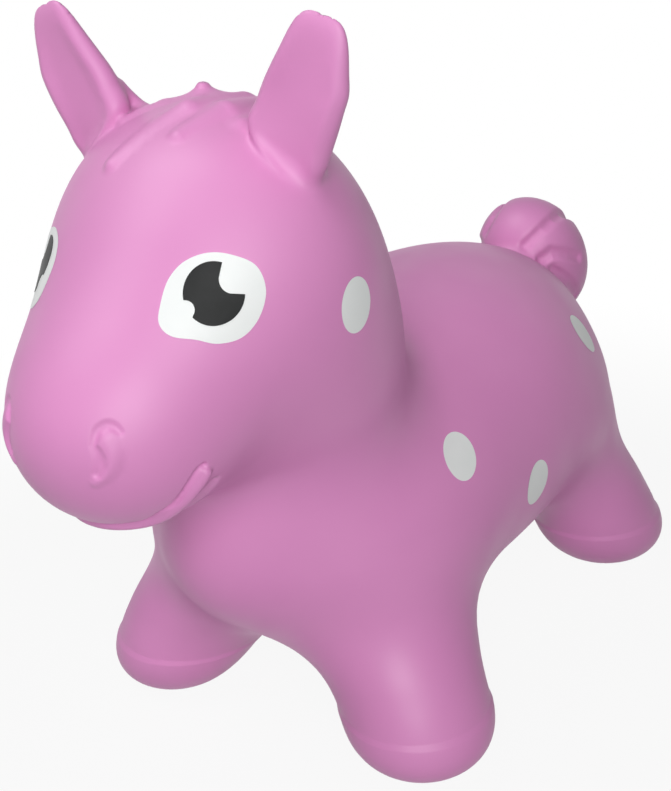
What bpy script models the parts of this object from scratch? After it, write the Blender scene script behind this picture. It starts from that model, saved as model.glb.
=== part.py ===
"""A bouncy ride-on pony: one hollow moulded vinyl skin, its air valve, and its painted eyes and spots.

Units are metres. The pony faces -Y, its left side is +X, and it stands on z = 0.
The skin's outside is one field, negative inside the pony, blended from simple forms.
A mesh laid over the field's zero surface is what Blender's modifiers then thin, hollow,
bore and cut flat.
"""

import itertools
import math

import bmesh
import bpy
import numpy as np
from mathutils import Vector

# Torso: width, top and bottom along its length from chest to rump
TORSO_FRONT_Y = -0.185
TORSO_BACK_Y = 0.265
TORSO_STATION_SHARES = (0.0, 0.3, 0.65, 1.0)
TORSO_HALF_WIDTHS = (0.078, 0.117, 0.132, 0.102)
TORSO_TOPS = (0.2435, 0.2555, 0.2715, 0.2725)
TORSO_BOTTOMS = (0.0735, 0.0505, 0.0565, 0.0775)
TORSO_END_POWER = 3.0

# Legs, by station up the leg: sole, hoof, ankle, knee, hip
LEG_HEIGHTS = (0.0, 0.0235, 0.0655, 0.1105, 0.1605)
FRONT_LEG_RADII = (0.0460, 0.0495, 0.0480, 0.0400, 0.057)
REAR_LEG_RADII = (0.0465, 0.0500, 0.0485, 0.0475, 0.059)
FRONT_FOOT_X = 0.1055
FRONT_FOOT_Y = -0.097
FRONT_HIP_X = 0.038
FRONT_HIP_Y = -0.058
REAR_FOOT_X = 0.100
REAR_FOOT_Y = 0.206
REAR_HIP_X = 0.051
REAR_HIP_Y = 0.152
LEG_BOW_POWER = 1.5
LEG_BLEND = 0.056
LEG_TORSO_BLEND = 0.070
SOLE_ROUNDING = 0.034
SOLE_TRIM = 0.0006
HOOF_LINE_HEIGHT = 0.0395
HOOF_STEP = 0.0012
HOOF_STEP_HEIGHT = 0.004

# Neck and head
NECK_Y = -0.094
NECK_Z = 0.2655
NECK_RADII = (0.0915, 0.0785, 0.099)
NECK_BODY_BLEND = 0.04
NECK_HEAD_BLEND = 0.05
SKULL_Y = -0.131
SKULL_Z = 0.343
SKULL_RADII = (0.1025, 0.086, 0.099)
MUZZLE_Y = -0.2325
MUZZLE_Z = 0.2815
MUZZLE_RADII = (0.058, 0.0565, 0.053)
MUZZLE_BLEND = 0.10

# Mouth: a thin groove round the muzzle's underside, a rolled lower lip and a jaw drawn in below it,
# each a row of places by turn and rise from the muzzle's middle
MOUTH_PLACES_DEG = (
    (0.0, -56.0),
    (25.0, -54.5),
    (48.0, -51.0),
    (60.0, -47.0),
    (66.5, -38.0),
    (73.7, -30.5),
    (77.5, -21.6),
    (80.6, -14.2),
    (83.7, -9.1),
    (86.3, -7.7),
    (89.7, -8.8),
)
MOUTH_RADIUS = 0.0017
MOUTH_DEPTH = 0.0025
MOUTH_BLEND = 0.0013
LIP_PLACES_DEG = (
    (0.0, -62.0),
    (27.0, -60.5),
    (52.0, -58.0),
    (68.0, -52.0),
    (76.5, -41.0),
    (80.5, -32.5),
    (84.0, -24.0),
    (87.0, -17.0),
    (88.5, -12.5),
)
LIP_RADII = (0.0030, 0.0032, 0.0036, 0.0042, 0.0046, 0.0048, 0.0046, 0.0041, 0.0033)
LIP_HEIGHT = 0.0030
LIP_BLEND = 0.002
JAW_TURN_DEG = 8.0
JAW_BELOW_DEG = 10.0
JAW_RADII = (0.0065, 0.0065, 0.0065, 0.0065, 0.0065, 0.0062, 0.0055, 0.0040, 0.0025)
JAW_DEPTH = 0.0020
JAW_BLEND = 0.004

# Nostrils: a raised comma on each side of the muzzle, a groove arched over it and a hollow by its tail
NOSTRIL_PLACES_DEG = ((40.3, 15.9), (41.7, 11.1), (41.7, 6.9), (38.9, 1.5), (35.3, -2.4), (31.1, -5.9))
NOSTRIL_RADII = (0.0070, 0.0062, 0.0052, 0.0040, 0.0030, 0.0018)
NOSTRIL_HEIGHT = 0.0012
NOSTRIL_BLEND = 0.0025
ARCH_PLACES_DEG = (
    (32.4, 14.9),
    (33.9, 19.4),
    (35.9, 22.8),
    (40.4, 24.6),
    (44.5, 23.4),
    (47.2, 20.6),
)
ARCH_RADII = (0.0013, 0.0019, 0.0021, 0.0021, 0.0019, 0.0014)
ARCH_DEPTH = 0.0012
HOLLOW_PLACES_DEG = ((33.6, 11.7), (34.4, 7.4), (34.2, 3.5), (32.6, -0.4))
HOLLOW_RADII = (0.0016, 0.0028, 0.0028, 0.0016)
HOLLOW_DEPTH = 0.0014
GROOVE_BLEND = 0.0020

# Ears: a flat upright leaf with a shallow dish in its front, by station up the leaf,
# and a lip along the crease where its front meets the head
EAR_CENTRE = (0.0763, -0.141, 0.4325)
EAR_HALF_LENGTH = 0.066
EAR_STATION_SHARES = (-0.35, -0.1, 0.15, 0.3, 0.45, 0.62, 1.0)
EAR_HALF_WIDTHS = (0.0130, 0.0205, 0.0253, 0.0264, 0.0245, 0.0214, 0.0215)
EAR_MIDDLES = (0.0060, 0.0008, -0.0016, -0.0022, -0.0010, -0.0002, 0.0)
EAR_FRONTS = (-0.0090, -0.0090, -0.0088, -0.0086, -0.0082, -0.0076, -0.0060)
EAR_BACKS = (0.0120, 0.0118, 0.0110, 0.0100, 0.0090, 0.0078, 0.0055)
EAR_ROOT_SHARE = 0.15
EAR_END_SLOPE = 4.0
EAR_LEAN_OUT_DEG = 21.0
EAR_TURN_DEG = -3.0
EAR_RIM = 0.0062
EAR_DISH_DEPTH = 0.0036
EAR_DISH_LIFT = 0.004
EAR_DISH_BLEND = 0.005
EAR_BLEND = 0.009
EAR_LIP_POINTS = (
    (0.0335, -0.1390, 0.4325),
    (0.0430, -0.1250, 0.4320),
    (0.0545, -0.1305, 0.4265),
    (0.0655, -0.1335, 0.4195),
    (0.0770, -0.1310, 0.4085),
)
EAR_LIP_RADII = (0.0050, 0.0058, 0.0054, 0.0050, 0.0040)
EAR_LIP_BLEND = 0.004
SLIGHT_SHARE = 1e-6

# Forelock: locks swept over the crown, each a row of places across and forward of the root,
# and one short tuft that stands up
FORELOCK_Y = -0.100
FORELOCK_HALF_WIDTH = 0.042
FORELOCK_REACH = 0.084
FORELOCK_LOCK_SHARES = (
    ((0.15, 0.0), (0.05, 0.5), (-0.5, 1.0)),
    ((0.5, 0.0), (0.5, 0.4), (0.3, 0.78)),
    ((-0.3, 0.0), (-0.6, 0.35), (-1.0, 0.55)),
    ((0.7, 0.0), (0.9, 0.25), (1.1, 0.45)),
)
FORELOCK_TAPER_SHARES = (1.0, 0.85, 0.35)
FORELOCK_LOCK_RADIUS = 0.0115
FORELOCK_RISE = 0.0035
FORELOCK_BLEND = 0.005
TUFT_PLACE_SHARES = (-0.20, 0.19)
TUFT_HEIGHT = 0.0080
TUFT_ROOT_RADIUS = 0.0150
TUFT_TIP_RADIUS = 0.0035

# Tail: a plump bob with creases between its locks, each crease a row of places across and round it
TAIL_Y = 0.280
TAIL_Z = 0.2145
TAIL_RADII = (0.0465, 0.0415, 0.0575)
TAIL_TILT_DEG = 24.0
TAIL_BLEND = 0.012
TAIL_CREASE_PLACES_SHARES = (
    ((-0.58, 120.0), (-0.49, 109.0), (-0.45, 97.0), (-0.42, 66.0), (-0.38, 30.0), (-0.30, -10.0)),
    ((0.31, 133.0), (0.42, 123.0), (0.53, 108.0), (0.60, 86.0), (0.60, 61.0), (0.54, 25.0), (0.42, -15.0)),
    ((0.55, 145.0), (0.64, 139.0), (0.71, 132.0), (0.82, 129.0), (0.91, 124.0), (0.98, 106.0)),
    ((0.72, 156.0), (0.83, 165.0), (0.90, 186.0), (0.87, 238.0)),
    ((-0.55, 145.0), (-0.64, 139.0), (-0.71, 132.0), (-0.82, 129.0), (-0.91, 124.0), (-0.98, 106.0)),
)
TAIL_CREASE_LIFTS = (0.0026, 0.0012, 0.0012, 0.0020, 0.0012)
TAIL_CREASE_RADIUS = 0.0040
TAIL_CREASE_BLEND = 0.004

# Skin
SKIN_WALL = 0.0028
OUTER_CELL = 0.004
CAVITY_CELL = 0.008
OUTER_TRIANGLES = 6600
CAVITY_TRIANGLES = 2600
NET_MARGIN = 0.02
COARSE_STEP = 4
COARSE_REACH_SHARE = 3.0
LEAST_EDGE_SHARE = 0.15
SETTLE_ROUNDS = 1

# Air valve in the belly: a seat moulded into a thick boss, and a push-in plug
VALVE_PLACE_SHARE = 0.50
BOSS_RADIUS = 0.019
BOSS_PROUD = 0.0015
BOSS_THICKNESS = 0.007
SEAT_BARREL_RADIUS = 0.0075
SEAT_FLANGE_RADIUS = 0.0135
SEAT_FLANGE_THICKNESS = 0.0026
SEAT_LIP_RADIUS = 0.0105
SEAT_LIP_THICKNESS = 0.0018
SEAT_BORE_RADIUS = 0.0046
PLUG_HEAD_RADIUS = 0.0095
PLUG_HEAD_THICKNESS = 0.0028
PLUG_HEAD_SUNK = 0.0012
PLUG_STEM_LENGTH = 0.017
PLUG_TIP_LENGTH = 0.004
PLUG_TIP_RADIUS = 0.0026
PLUG_RIB_COUNT = 3
PLUG_RIB_DEPTH = 0.0006
PLUG_RIB_WIDTH = 0.0012
NAIL_LIP = 0.0006
FIT_GAP = 0.0003
ROUND_SEGMENTS = 24

# Paint: each film lies on the skin, placed by the direction from a point inside the pony
PAINT_GAP = 0.0005
WHITE_FILM = 0.0004
BLACK_FILM = 0.0004
EYE_AIM_DEG = (37.9, 8.5)
EYE_HALF_WIDTH = 0.0287
EYE_HALF_HEIGHT = 0.0232
EYE_OUTLINE_SHARES = (
    (0.98, 0.03),
    (0.84, 0.60),
    (0.40, 0.90),
    (-0.03, 0.98),
    (-0.46, 0.83),
    (-0.77, 0.48),
    (-0.95, -0.03),
    (-1.0, -0.42),
    (-0.80, -0.70),
    (-0.37, -0.84),
    (0.03, -1.0),
    (0.47, -0.94),
    (0.81, -0.56),
)
PUPIL_RADIUS = 0.0162
PUPIL_OFFSET = (0.0010, 0.0022)
BIG_GLINT_OFFSET = (0.0107, 0.0064)
BIG_GLINT_RADIUS = 0.0076
SMALL_GLINT_OFFSET = (-0.0155, -0.0066)
SMALL_GLINT_RADIUS = 0.0048
SPOT_HALF_WIDTH = 0.0125
SPOT_HALF_HEIGHT = 0.0162
CHEEK_SPOT_AIM_DEG = (86.6, -4.7)
CHEEK_SPOT_LEAN_DEG = -3.5
SHOULDER_SPOT_FROM = (-0.020, 0.1455)
SHOULDER_SPOT_AIM_DEG = (79.7, 25.4)
SHOULDER_SPOT_LEAN_DEG = -19.5
FLANK_SPOT_FROM = (0.027, 0.1605)
FLANK_SPOT_AIM_DEG = (90.5, -4.2)
FLANK_SPOT_LEAN_DEG = -11.0
HIP_SPOT_FROM = (0.110, 0.1605)
HIP_SPOT_AIM_DEG = (110.5, 24.4)
HIP_SPOT_LEAN_DEG = 7.0
FILM_RINGS = 4
EYE_POINTS = 28
SPOT_POINTS = 14
FILM_STAND_OFF = 0.15

# Colours
PINK = (0.72, 0.29, 0.58, 1.0)
WHITE = (0.88, 0.90, 0.89, 1.0)
BLACK = (0.012, 0.013, 0.012, 1.0)
PALE_PLASTIC = (0.80, 0.78, 0.76, 1.0)


def lengths(vectors):
    return np.sqrt((vectors * vectors).sum(-1))


def turn_about_x(angle_deg):
    c, s = math.cos(math.radians(angle_deg)), math.sin(math.radians(angle_deg))
    return np.array([[1.0, 0.0, 0.0], [0.0, c, -s], [0.0, s, c]])


def turn_about_y(angle_deg):
    c, s = math.cos(math.radians(angle_deg)), math.sin(math.radians(angle_deg))
    return np.array([[c, 0.0, s], [0.0, 1.0, 0.0], [-s, 0.0, c]])


def turn_about_z(angle_deg):
    c, s = math.cos(math.radians(angle_deg)), math.sin(math.radians(angle_deg))
    return np.array([[c, -s, 0.0], [s, c, 0.0], [0.0, 0.0, 1.0]])


def towards(turn_deg, rise_deg):
    """Unit vector turned from straight ahead to the pony's left, and raised."""
    turn, rise = math.radians(turn_deg), math.radians(rise_deg)
    return np.array([math.sin(turn) * math.cos(rise), -math.cos(turn) * math.cos(rise), math.sin(rise)])


def blend(a, b, radius):
    """The union of two fields, with a fillet where they meet."""
    h = np.maximum(radius - np.abs(a - b), 0.0) / radius
    return np.minimum(a, b) - h * h * radius / 4


def overlap(a, b, radius):
    """What two fields share, with a rounded edge where they meet."""
    return -blend(-a, -b, radius)


def through(stations, values, at):
    """A smooth curve through the values given at some stations."""
    stations = np.asarray(stations, float)
    values = np.asarray(values, float)
    slopes = np.gradient(values, stations)
    i = np.clip(np.searchsorted(stations, at) - 1, 0, len(stations) - 2)
    span = stations[i + 1] - stations[i]
    s = np.clip((at - stations[i]) / span, 0.0, 1.0)
    start, end = values[i], values[i + 1]
    bend = (1 - s) * s * span * ((1 - s) * slopes[i] - s * slopes[i + 1])
    return start + (end - start) * s * s * (3 - 2 * s) + bend


def mirrored(p):
    """Each point on the pony's left side."""
    return np.concatenate([np.abs(p[..., :1]), p[..., 1:]], axis=-1)


def egg(p, centre, radii, turned=None):
    q = p - np.array(centre)
    if turned is not None:
        q = q @ turned
    radii = np.array(radii)
    near = lengths(q / radii)
    steep = np.maximum(lengths(q / radii**2), 1 / radii.max() ** 2 * 1e-6)
    return near * (near - 1) / steep


def tapered_rod(p, start, end, start_radius, end_radius):
    start, along = np.asarray(start), np.asarray(end) - np.asarray(start)
    t = np.clip((p - start) @ along / (along @ along), 0.0, 1.0)
    radius = start_radius + (end_radius - start_radius) * t
    return lengths(p - start - t[..., None] * along) - radius


def tapered_chain(p, points, radii):
    """Rods end to end through a row of points."""
    rods = zip(points[:-1], points[1:], radii[:-1], radii[1:])
    return np.min([tapered_rod(p, a, b, ra, rb) for a, b, ra, rb in rods], axis=0)


def torso(p):
    x, y, z = p[..., 0], p[..., 1], p[..., 2]
    length = TORSO_BACK_Y - TORSO_FRONT_Y
    share = np.clip((y - TORSO_FRONT_Y) / length, 0.0, 1.0)
    width = through(TORSO_STATION_SHARES, TORSO_HALF_WIDTHS, share)
    top = through(TORSO_STATION_SHARES, TORSO_TOPS, share)
    bottom = through(TORSO_STATION_SHARES, TORSO_BOTTOMS, share)
    middle, height = (top + bottom) / 2, (top - bottom) / 2
    end = np.abs(2 * (y - TORSO_FRONT_Y) / length - 1)
    power = TORSO_END_POWER
    reach = np.sqrt((x / width) ** 2 + ((z - middle) / height) ** 2 + end**power)
    slope = np.sqrt(
        (x / width**2) ** 2 + ((z - middle) / height**2) ** 2 + (power * end ** (power - 1) / length) ** 2
    )
    return (reach - 1) * reach / np.maximum(slope, 1 / TORSO_BACK_Y)


def leg(p, foot_x, foot_y, hip_x, hip_y, radii):
    q = mirrored(p)
    z = q[..., 2]
    rise = np.clip(z / LEG_HEIGHTS[-1], 0.0, 1.0) ** LEG_BOW_POWER
    from_x = q[..., 0] - foot_x - (hip_x - foot_x) * rise
    from_y = q[..., 1] - foot_y - (hip_y - foot_y) * rise
    hoof = np.clip((HOOF_LINE_HEIGHT - z) / HOOF_STEP_HEIGHT, 0.0, 1.0)
    radius = through(LEG_HEIGHTS, radii, z) + HOOF_STEP * hoof
    side = np.hypot(from_x, from_y) - radius
    side = overlap(side, -SOLE_TRIM - z, SOLE_ROUNDING)
    return overlap(side, z - LEG_HEIGHTS[-1], LEG_BLEND)


def body(p):
    front = leg(p, FRONT_FOOT_X, FRONT_FOOT_Y, FRONT_HIP_X, FRONT_HIP_Y, FRONT_LEG_RADII)
    rear = leg(p, REAR_FOOT_X, REAR_FOOT_Y, REAR_HIP_X, REAR_HIP_Y, REAR_LEG_RADII)
    return blend(blend(torso(p), front, LEG_TORSO_BLEND), rear, LEG_BLEND)


def plain_head(p):
    skull = egg(p, (0.0, SKULL_Y, SKULL_Z), SKULL_RADII)
    muzzle = egg(p, (0.0, MUZZLE_Y, MUZZLE_Z), MUZZLE_RADII)
    neck = egg(p, (0.0, NECK_Y, NECK_Z), NECK_RADII)
    return blend(blend(skull, muzzle, MUZZLE_BLEND), neck, NECK_HEAD_BLEND)


def on_surface(field, origin, direction, sink=0.0):
    """Where a line from a point inside the field leaves it, less a depth."""
    near, far = 0.0, SKULL_Z
    for _ in range(40):
        middle = (near + far) / 2
        if field(origin + direction * middle) < 0:
            near = middle
        else:
            far = middle
    return origin + direction * (near - sink)


MUZZLE_MIDDLE = np.array((0.0, MUZZLE_Y, MUZZLE_Z))


def muzzle_row(places_deg, radii, height):
    """Centres for balls round the muzzle that stand this high out of it, or below zero cut this deep."""
    sinks = [radius - height if height > 0 else -height - radius for radius in radii]
    rows = zip(places_deg, sinks)
    return [on_surface(plain_head, MUZZLE_MIDDLE, towards(*place), sink) for place, sink in rows]


def head(p):
    """Skull, muzzle and neck, with the mouth and the nostrils."""
    q = mirrored(p)
    jaw_places = [(turn + JAW_TURN_DEG, rise - JAW_BELOW_DEG) for turn, rise in LIP_PLACES_DEG]
    mouth_radii = [MOUTH_RADIUS] * len(MOUTH_PLACES_DEG)
    grooves = (
        (MOUTH_PLACES_DEG, mouth_radii, MOUTH_DEPTH, MOUTH_BLEND),
        (ARCH_PLACES_DEG, ARCH_RADII, ARCH_DEPTH, GROOVE_BLEND),
        (HOLLOW_PLACES_DEG, HOLLOW_RADII, HOLLOW_DEPTH, GROOVE_BLEND),
    )
    jaw = tapered_chain(q, muzzle_row(jaw_places, JAW_RADII, -JAW_DEPTH), JAW_RADII)
    lip = tapered_chain(q, muzzle_row(LIP_PLACES_DEG, LIP_RADII, LIP_HEIGHT), LIP_RADII)
    nostril = tapered_chain(q, muzzle_row(NOSTRIL_PLACES_DEG, NOSTRIL_RADII, NOSTRIL_HEIGHT), NOSTRIL_RADII)
    shape = overlap(plain_head(q), -jaw, JAW_BLEND)
    shape = blend(blend(shape, lip, LIP_BLEND), nostril, NOSTRIL_BLEND)
    for places, radii, depth, rounding in grooves:
        groove = tapered_chain(q, muzzle_row(places, radii, -depth), radii)
        shape = overlap(shape, -groove, rounding)
    return shape


def ear(p):
    """A flat leaf with a shallow dish in its front, and a lip along the crease where it meets the head."""
    q = (mirrored(p) - np.array(EAR_CENTRE)) @ (turn_about_y(EAR_LEAN_OUT_DEG) @ turn_about_z(EAR_TURN_DEG))
    share = q[..., 2] / EAR_HALF_LENGTH
    rows = (EAR_HALF_WIDTHS, EAR_MIDDLES, EAR_FRONTS, EAR_BACKS)
    width, middle, front, back = (through(EAR_STATION_SHARES, row, share) for row in rows)
    off = q[..., 0] - middle
    above = np.maximum(share, 0.0)
    below = np.maximum(-share - EAR_ROOT_SHARE, 0.0) * EAR_END_SLOPE
    thick = (back - front) / 2
    leaf = leaf_field(off / width, (q[..., 1] - (front + back) / 2) / thick, above, below, width, thick)
    deep = EAR_DISH_DEPTH + EAR_DISH_LIFT
    inner = width - EAR_RIM
    above = above * EAR_HALF_LENGTH / (EAR_HALF_LENGTH - EAR_RIM)
    dish = leaf_field(off / inner, (q[..., 1] - front + EAR_DISH_LIFT) / deep, above, below, inner, deep)
    lip = tapered_chain(mirrored(p), EAR_LIP_POINTS, EAR_LIP_RADII)
    return blend(overlap(leaf, -dish, EAR_DISH_BLEND), lip, EAR_LIP_BLEND)


def leaf_field(across, deep, above, below, width, thick):
    reach = np.sqrt(across**4 + deep**2 + above**4 + below**2)
    ends = (2 * above**3 + EAR_END_SLOPE * below) / EAR_HALF_LENGTH
    slope = np.sqrt((2 * across**3 / width) ** 2 + (deep / thick) ** 2 + ends**2)
    return (reach - 1) * np.minimum((reach + SLIGHT_SHARE) / (slope + SLIGHT_SHARE / width), width)


def crown_point(across_share, forward_share, rise):
    """A point over the crown, this much above the plain head."""
    y = FORELOCK_Y - FORELOCK_REACH * forward_share
    start = np.array((FORELOCK_HALF_WIDTH * across_share, y, SKULL_Z))
    return on_surface(plain_head, start, np.array((0.0, 0.0, 1.0)), -rise)


def forelock(p):
    locks = []
    radii = [FORELOCK_LOCK_RADIUS * share for share in FORELOCK_TAPER_SHARES]
    for row in FORELOCK_LOCK_SHARES:
        places = zip(row, FORELOCK_TAPER_SHARES, radii)
        points = [crown_point(*place, FORELOCK_RISE * share - radius) for place, share, radius in places]
        locks.append(tapered_chain(p, points, radii))
    root = crown_point(*TUFT_PLACE_SHARES, -TUFT_ROOT_RADIUS)
    tip = crown_point(*TUFT_PLACE_SHARES, TUFT_HEIGHT - TUFT_TIP_RADIUS)
    shape = tapered_rod(p, root, tip, TUFT_ROOT_RADIUS, TUFT_TIP_RADIUS)
    for lock in locks:
        shape = blend(shape, lock, FORELOCK_BLEND)
    return shape


def plain_tail(p):
    return egg(p, (0.0, TAIL_Y, TAIL_Z), TAIL_RADII, turn_about_x(TAIL_TILT_DEG))


def tail_creases():
    """Points along each crease between the tail's locks, just off the bob."""
    turned = turn_about_x(TAIL_TILT_DEG)
    rows = []
    for places, lift in zip(TAIL_CREASE_PLACES_SHARES, TAIL_CREASE_LIFTS):
        across = np.array([share for share, _ in places])
        angle = np.radians([angle_deg for _, angle_deg in places])
        round_x = np.sqrt(1 - across**2)
        unit = np.stack([across, round_x * np.cos(angle), round_x * np.sin(angle)], axis=-1)
        rows.append((unit * (np.array(TAIL_RADII) + lift)) @ turned.T + np.array((0.0, TAIL_Y, TAIL_Z)))
    return rows


def tail(p):
    """The bob with a crease between each lock and the next."""
    shape = plain_tail(p)
    for row in tail_creases():
        crease = tapered_chain(p, row, [TAIL_CREASE_RADIUS] * len(row))
        shape = overlap(shape, -crease, TAIL_CREASE_BLEND)
    return shape


def outside(p):
    shape = blend(body(p), head(p), NECK_BODY_BLEND)
    shape = blend(shape, ear(p), EAR_BLEND)
    shape = blend(shape, forelock(p), FORELOCK_BLEND)
    return blend(shape, tail(p), TAIL_BLEND)


def cavity(p):
    """The air space, a wall's thickness inside. The ears and the forelock are moulded solid."""
    shape = blend(body(p), plain_head(p), NECK_BODY_BLEND)
    shape = blend(shape, plain_tail(p), TAIL_BLEND)
    return np.maximum(shape, outside(p)) + SKIN_WALL


def near_surface_values(field, grid, cell):
    """The field on a grid, worked out in full only near its surface."""
    step = COARSE_STEP
    values = field(grid[::step, ::step, ::step])
    for axis in range(3):
        values = np.repeat(values, step, axis=axis)
    values = values[: grid.shape[0], : grid.shape[1], : grid.shape[2]].copy()
    near = np.abs(values) < cell * step * COARSE_REACH_SHARE
    values[near] = field(grid[near])
    return values


def gradient(field, points, step):
    sides = np.eye(3) * step
    return np.stack([field(points + side) - field(points - side) for side in sides], axis=-1) / (2 * step)


def tetrahedron_cases():
    """The triangles that part a cube's corners, for its six tetrahedra and each choice of corners inside.

    A triangle's corners lie on tetrahedron edges, each given by its two ends, and it faces outward."""
    cases = []
    for order in itertools.permutations(range(3)):
        corners = np.zeros((4, 3), int)
        for step, axis in enumerate(order):
            corners[step + 1 :, axis] = 1
        for chosen in range(1, 15):
            held = [k for k in range(4) if chosen >> k & 1]
            free = [k for k in range(4) if not chosen >> k & 1]
            edges = [(a, b) for a in held for b in free]
            if len(held) == 2:
                edges = [edges[0], edges[1], edges[3], edges[2]]
            middles = np.array([corners[a] + corners[b] for a, b in edges])
            facing = np.cross(middles[1] - middles[0], middles[2] - middles[0])
            if facing @ (corners[free].mean(0) - corners[held].mean(0)) < 0:
                edges = edges[::-1]
            triangles = [(edges[0], edges[k], edges[k + 1]) for k in range(1, len(edges) - 1)]
            cases.append((corners, chosen, triangles))
    return cases


def surface_mesh(field, low, high, cell):
    """Points and triangles over the field's zero surface, always closed, from cubes cut into tetrahedra."""
    counts = np.ceil((high - low) / cell).astype(int) + 1
    marks = [low[axis] + cell * np.arange(counts[axis]) for axis in range(3)]
    grid = np.stack(np.meshgrid(*marks, indexing="ij"), axis=-1)
    values = near_surface_values(field, grid, cell)
    inside = values < 0
    shape = inside[:-1, :-1, :-1]
    some, all_in = np.zeros_like(shape), np.ones_like(shape)
    for corner in itertools.product((0, 1), repeat=3):
        part = inside[tuple(slice(c, inside.shape[axis] - 1 + c) for axis, c in enumerate(corner))]
        some, all_in = some | part, all_in & part
    cubes = np.argwhere(some & ~all_in)
    keys = []
    for corners, chosen, triangles in tetrahedron_cases():
        mask = sum(inside[tuple((cubes + corner).T)].astype(int) << k for k, corner in enumerate(corners))
        here = cubes[mask == chosen]
        for triangle in triangles:
            ends = []
            for a, b in triangle:
                lower, upper = corners[min(a, b)], corners[max(a, b)]
                direction = (upper - lower) @ (1, 2, 4)
                ends.append(np.ravel_multi_index(tuple((here + lower).T), counts) * 8 + direction)
            keys.append(np.stack(ends, axis=-1))
    used, triangles = np.unique(np.concatenate(keys), return_inverse=True)
    lower = np.stack(np.unravel_index(used // 8, counts), axis=-1)
    along = np.stack([used >> axis & 1 for axis in range(3)], axis=-1)
    start, end = values[tuple(lower.T)], values[tuple((lower + along).T)]
    share = np.clip(start / (start - end), LEAST_EDGE_SHARE, 1 - LEAST_EDGE_SHARE)
    points = (lower + along * share[:, None]) * cell + low
    for _ in range(SETTLE_ROUNDS):
        slope = gradient(field, points, cell / 10)
        move = field(points)[:, None] * slope / (slope**2).sum(-1, keepdims=True)
        points = points - np.clip(move, -cell / 4, cell / 4)
    return points, triangles.reshape(-1, 3)


def material(name, colour, roughness):
    made = bpy.data.materials.new(name)
    made.use_nodes = True
    shader = made.node_tree.nodes["Principled BSDF"]
    shader.inputs["Base Color"].default_value = colour
    shader.inputs["Roughness"].default_value = roughness
    shader.inputs["Metallic"].default_value = 0.0
    return made


def add_object(name, mesh, finish=None, parent=None):
    made = bpy.data.objects.new(name, mesh)
    bpy.context.scene.collection.objects.link(made)
    if finish:
        mesh.materials.append(finish)
    made.parent = parent
    return made


def make_tool(tool):
    """A cutter or guide: seen as wires, and left out of the pony."""
    tool.hide_render = True
    tool.display_type = "WIRE"
    return tool


def room():
    """The corners of a box that holds the pony with a margin all round."""
    front_foot = FRONT_FOOT_X + max(FRONT_LEG_RADII)
    rear_foot = REAR_FOOT_X + max(REAR_LEG_RADII)
    ear_side = EAR_CENTRE[0] + EAR_HALF_LENGTH
    side = max(front_foot, rear_foot, ear_side, max(TORSO_HALF_WIDTHS)) + NET_MARGIN
    front = min(MUZZLE_Y - MUZZLE_RADII[1], TORSO_FRONT_Y) - NET_MARGIN
    back = max(TAIL_Y + max(TAIL_RADII), TORSO_BACK_Y) + NET_MARGIN
    top = EAR_CENTRE[2] + EAR_HALF_LENGTH + NET_MARGIN
    return np.array((-side, front, -NET_MARGIN)), np.array((side, back, top))


def net_object(name, field, cell, wanted, finish=None, parent=None):
    low, high = room()
    high[0] = (math.ceil(high[0] / cell) + 0.5) * cell
    low[0] = -high[0]
    points, triangles = surface_mesh(field, low, high, cell)
    mesh = bpy.data.meshes.new(name)
    mesh.from_pydata(points.tolist(), [], triangles.tolist())
    mesh.shade_smooth()
    made = add_object(name, mesh, finish, parent)
    thin = made.modifiers.new("thin", "DECIMATE")
    thin.ratio = wanted / len(triangles)
    return made


def turned_mesh(name, profile):
    """A (radius, height) outline, closed or with both ends on the axis, turned about Z into one solid."""
    made = bmesh.new()
    ring = [made.verts.new((radius, 0.0, height)) for radius, height in profile]
    edges = [made.edges.new((a, b)) for a, b in zip(ring, ring[1:])]
    if profile[0][0] > 0:
        edges.append(made.edges.new((ring[-1], ring[0])))
    bmesh.ops.spin(
        made,
        geom=ring + edges,
        cent=(0.0, 0.0, 0.0),
        axis=(0.0, 0.0, 1.0),
        angle=math.tau,
        steps=ROUND_SEGMENTS,
        use_merge=True,
    )
    bmesh.ops.remove_doubles(made, verts=made.verts, dist=FIT_GAP / 10)
    bmesh.ops.recalc_face_normals(made, faces=made.faces)
    mesh = bpy.data.meshes.new(name)
    made.to_mesh(mesh)
    made.free()
    mesh.shade_smooth()
    mesh.set_sharp_from_angle(angle=math.radians(40))
    return mesh


def cylinder_tool(name, radius, low, high, parent):
    profile = [(0.0, low), (radius, low), (radius, high), (0.0, high)]
    made = make_tool(add_object(name, turned_mesh(name, profile), parent=parent))
    return made


def cut(target, tool, operation="DIFFERENCE"):
    change = target.modifiers.new(tool.name, "BOOLEAN")
    change.operation = operation
    change.object = tool


def valve_face():
    """Where the belly's boss faces the floor: the middle of its flat face."""
    y = TORSO_FRONT_Y + (TORSO_BACK_Y - TORSO_FRONT_Y) * VALVE_PLACE_SHARE
    inside = np.array((0.0, y, (TORSO_TOPS[1] + TORSO_BOTTOMS[1]) / 2))
    belly = on_surface(body, inside, np.array((0.0, 0.0, -1.0)))
    return Vector((0.0, y, belly[2] - BOSS_PROUD))


def floor_tool(parent):
    """A slab under the soles, which trims them flat."""
    slab = bmesh.new()
    low, high = room()
    bmesh.ops.create_cube(slab, size=1.0)
    bmesh.ops.scale(slab, verts=slab.verts, vec=(high[0] - low[0], high[1] - low[1], NET_MARGIN))
    bmesh.ops.translate(slab, verts=slab.verts, vec=(0.0, (low[1] + high[1]) / 2, -NET_MARGIN / 2))
    mesh = bpy.data.meshes.new("floor_trim")
    slab.to_mesh(mesh)
    slab.free()
    return make_tool(add_object("floor_trim", mesh, parent=parent))


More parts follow.
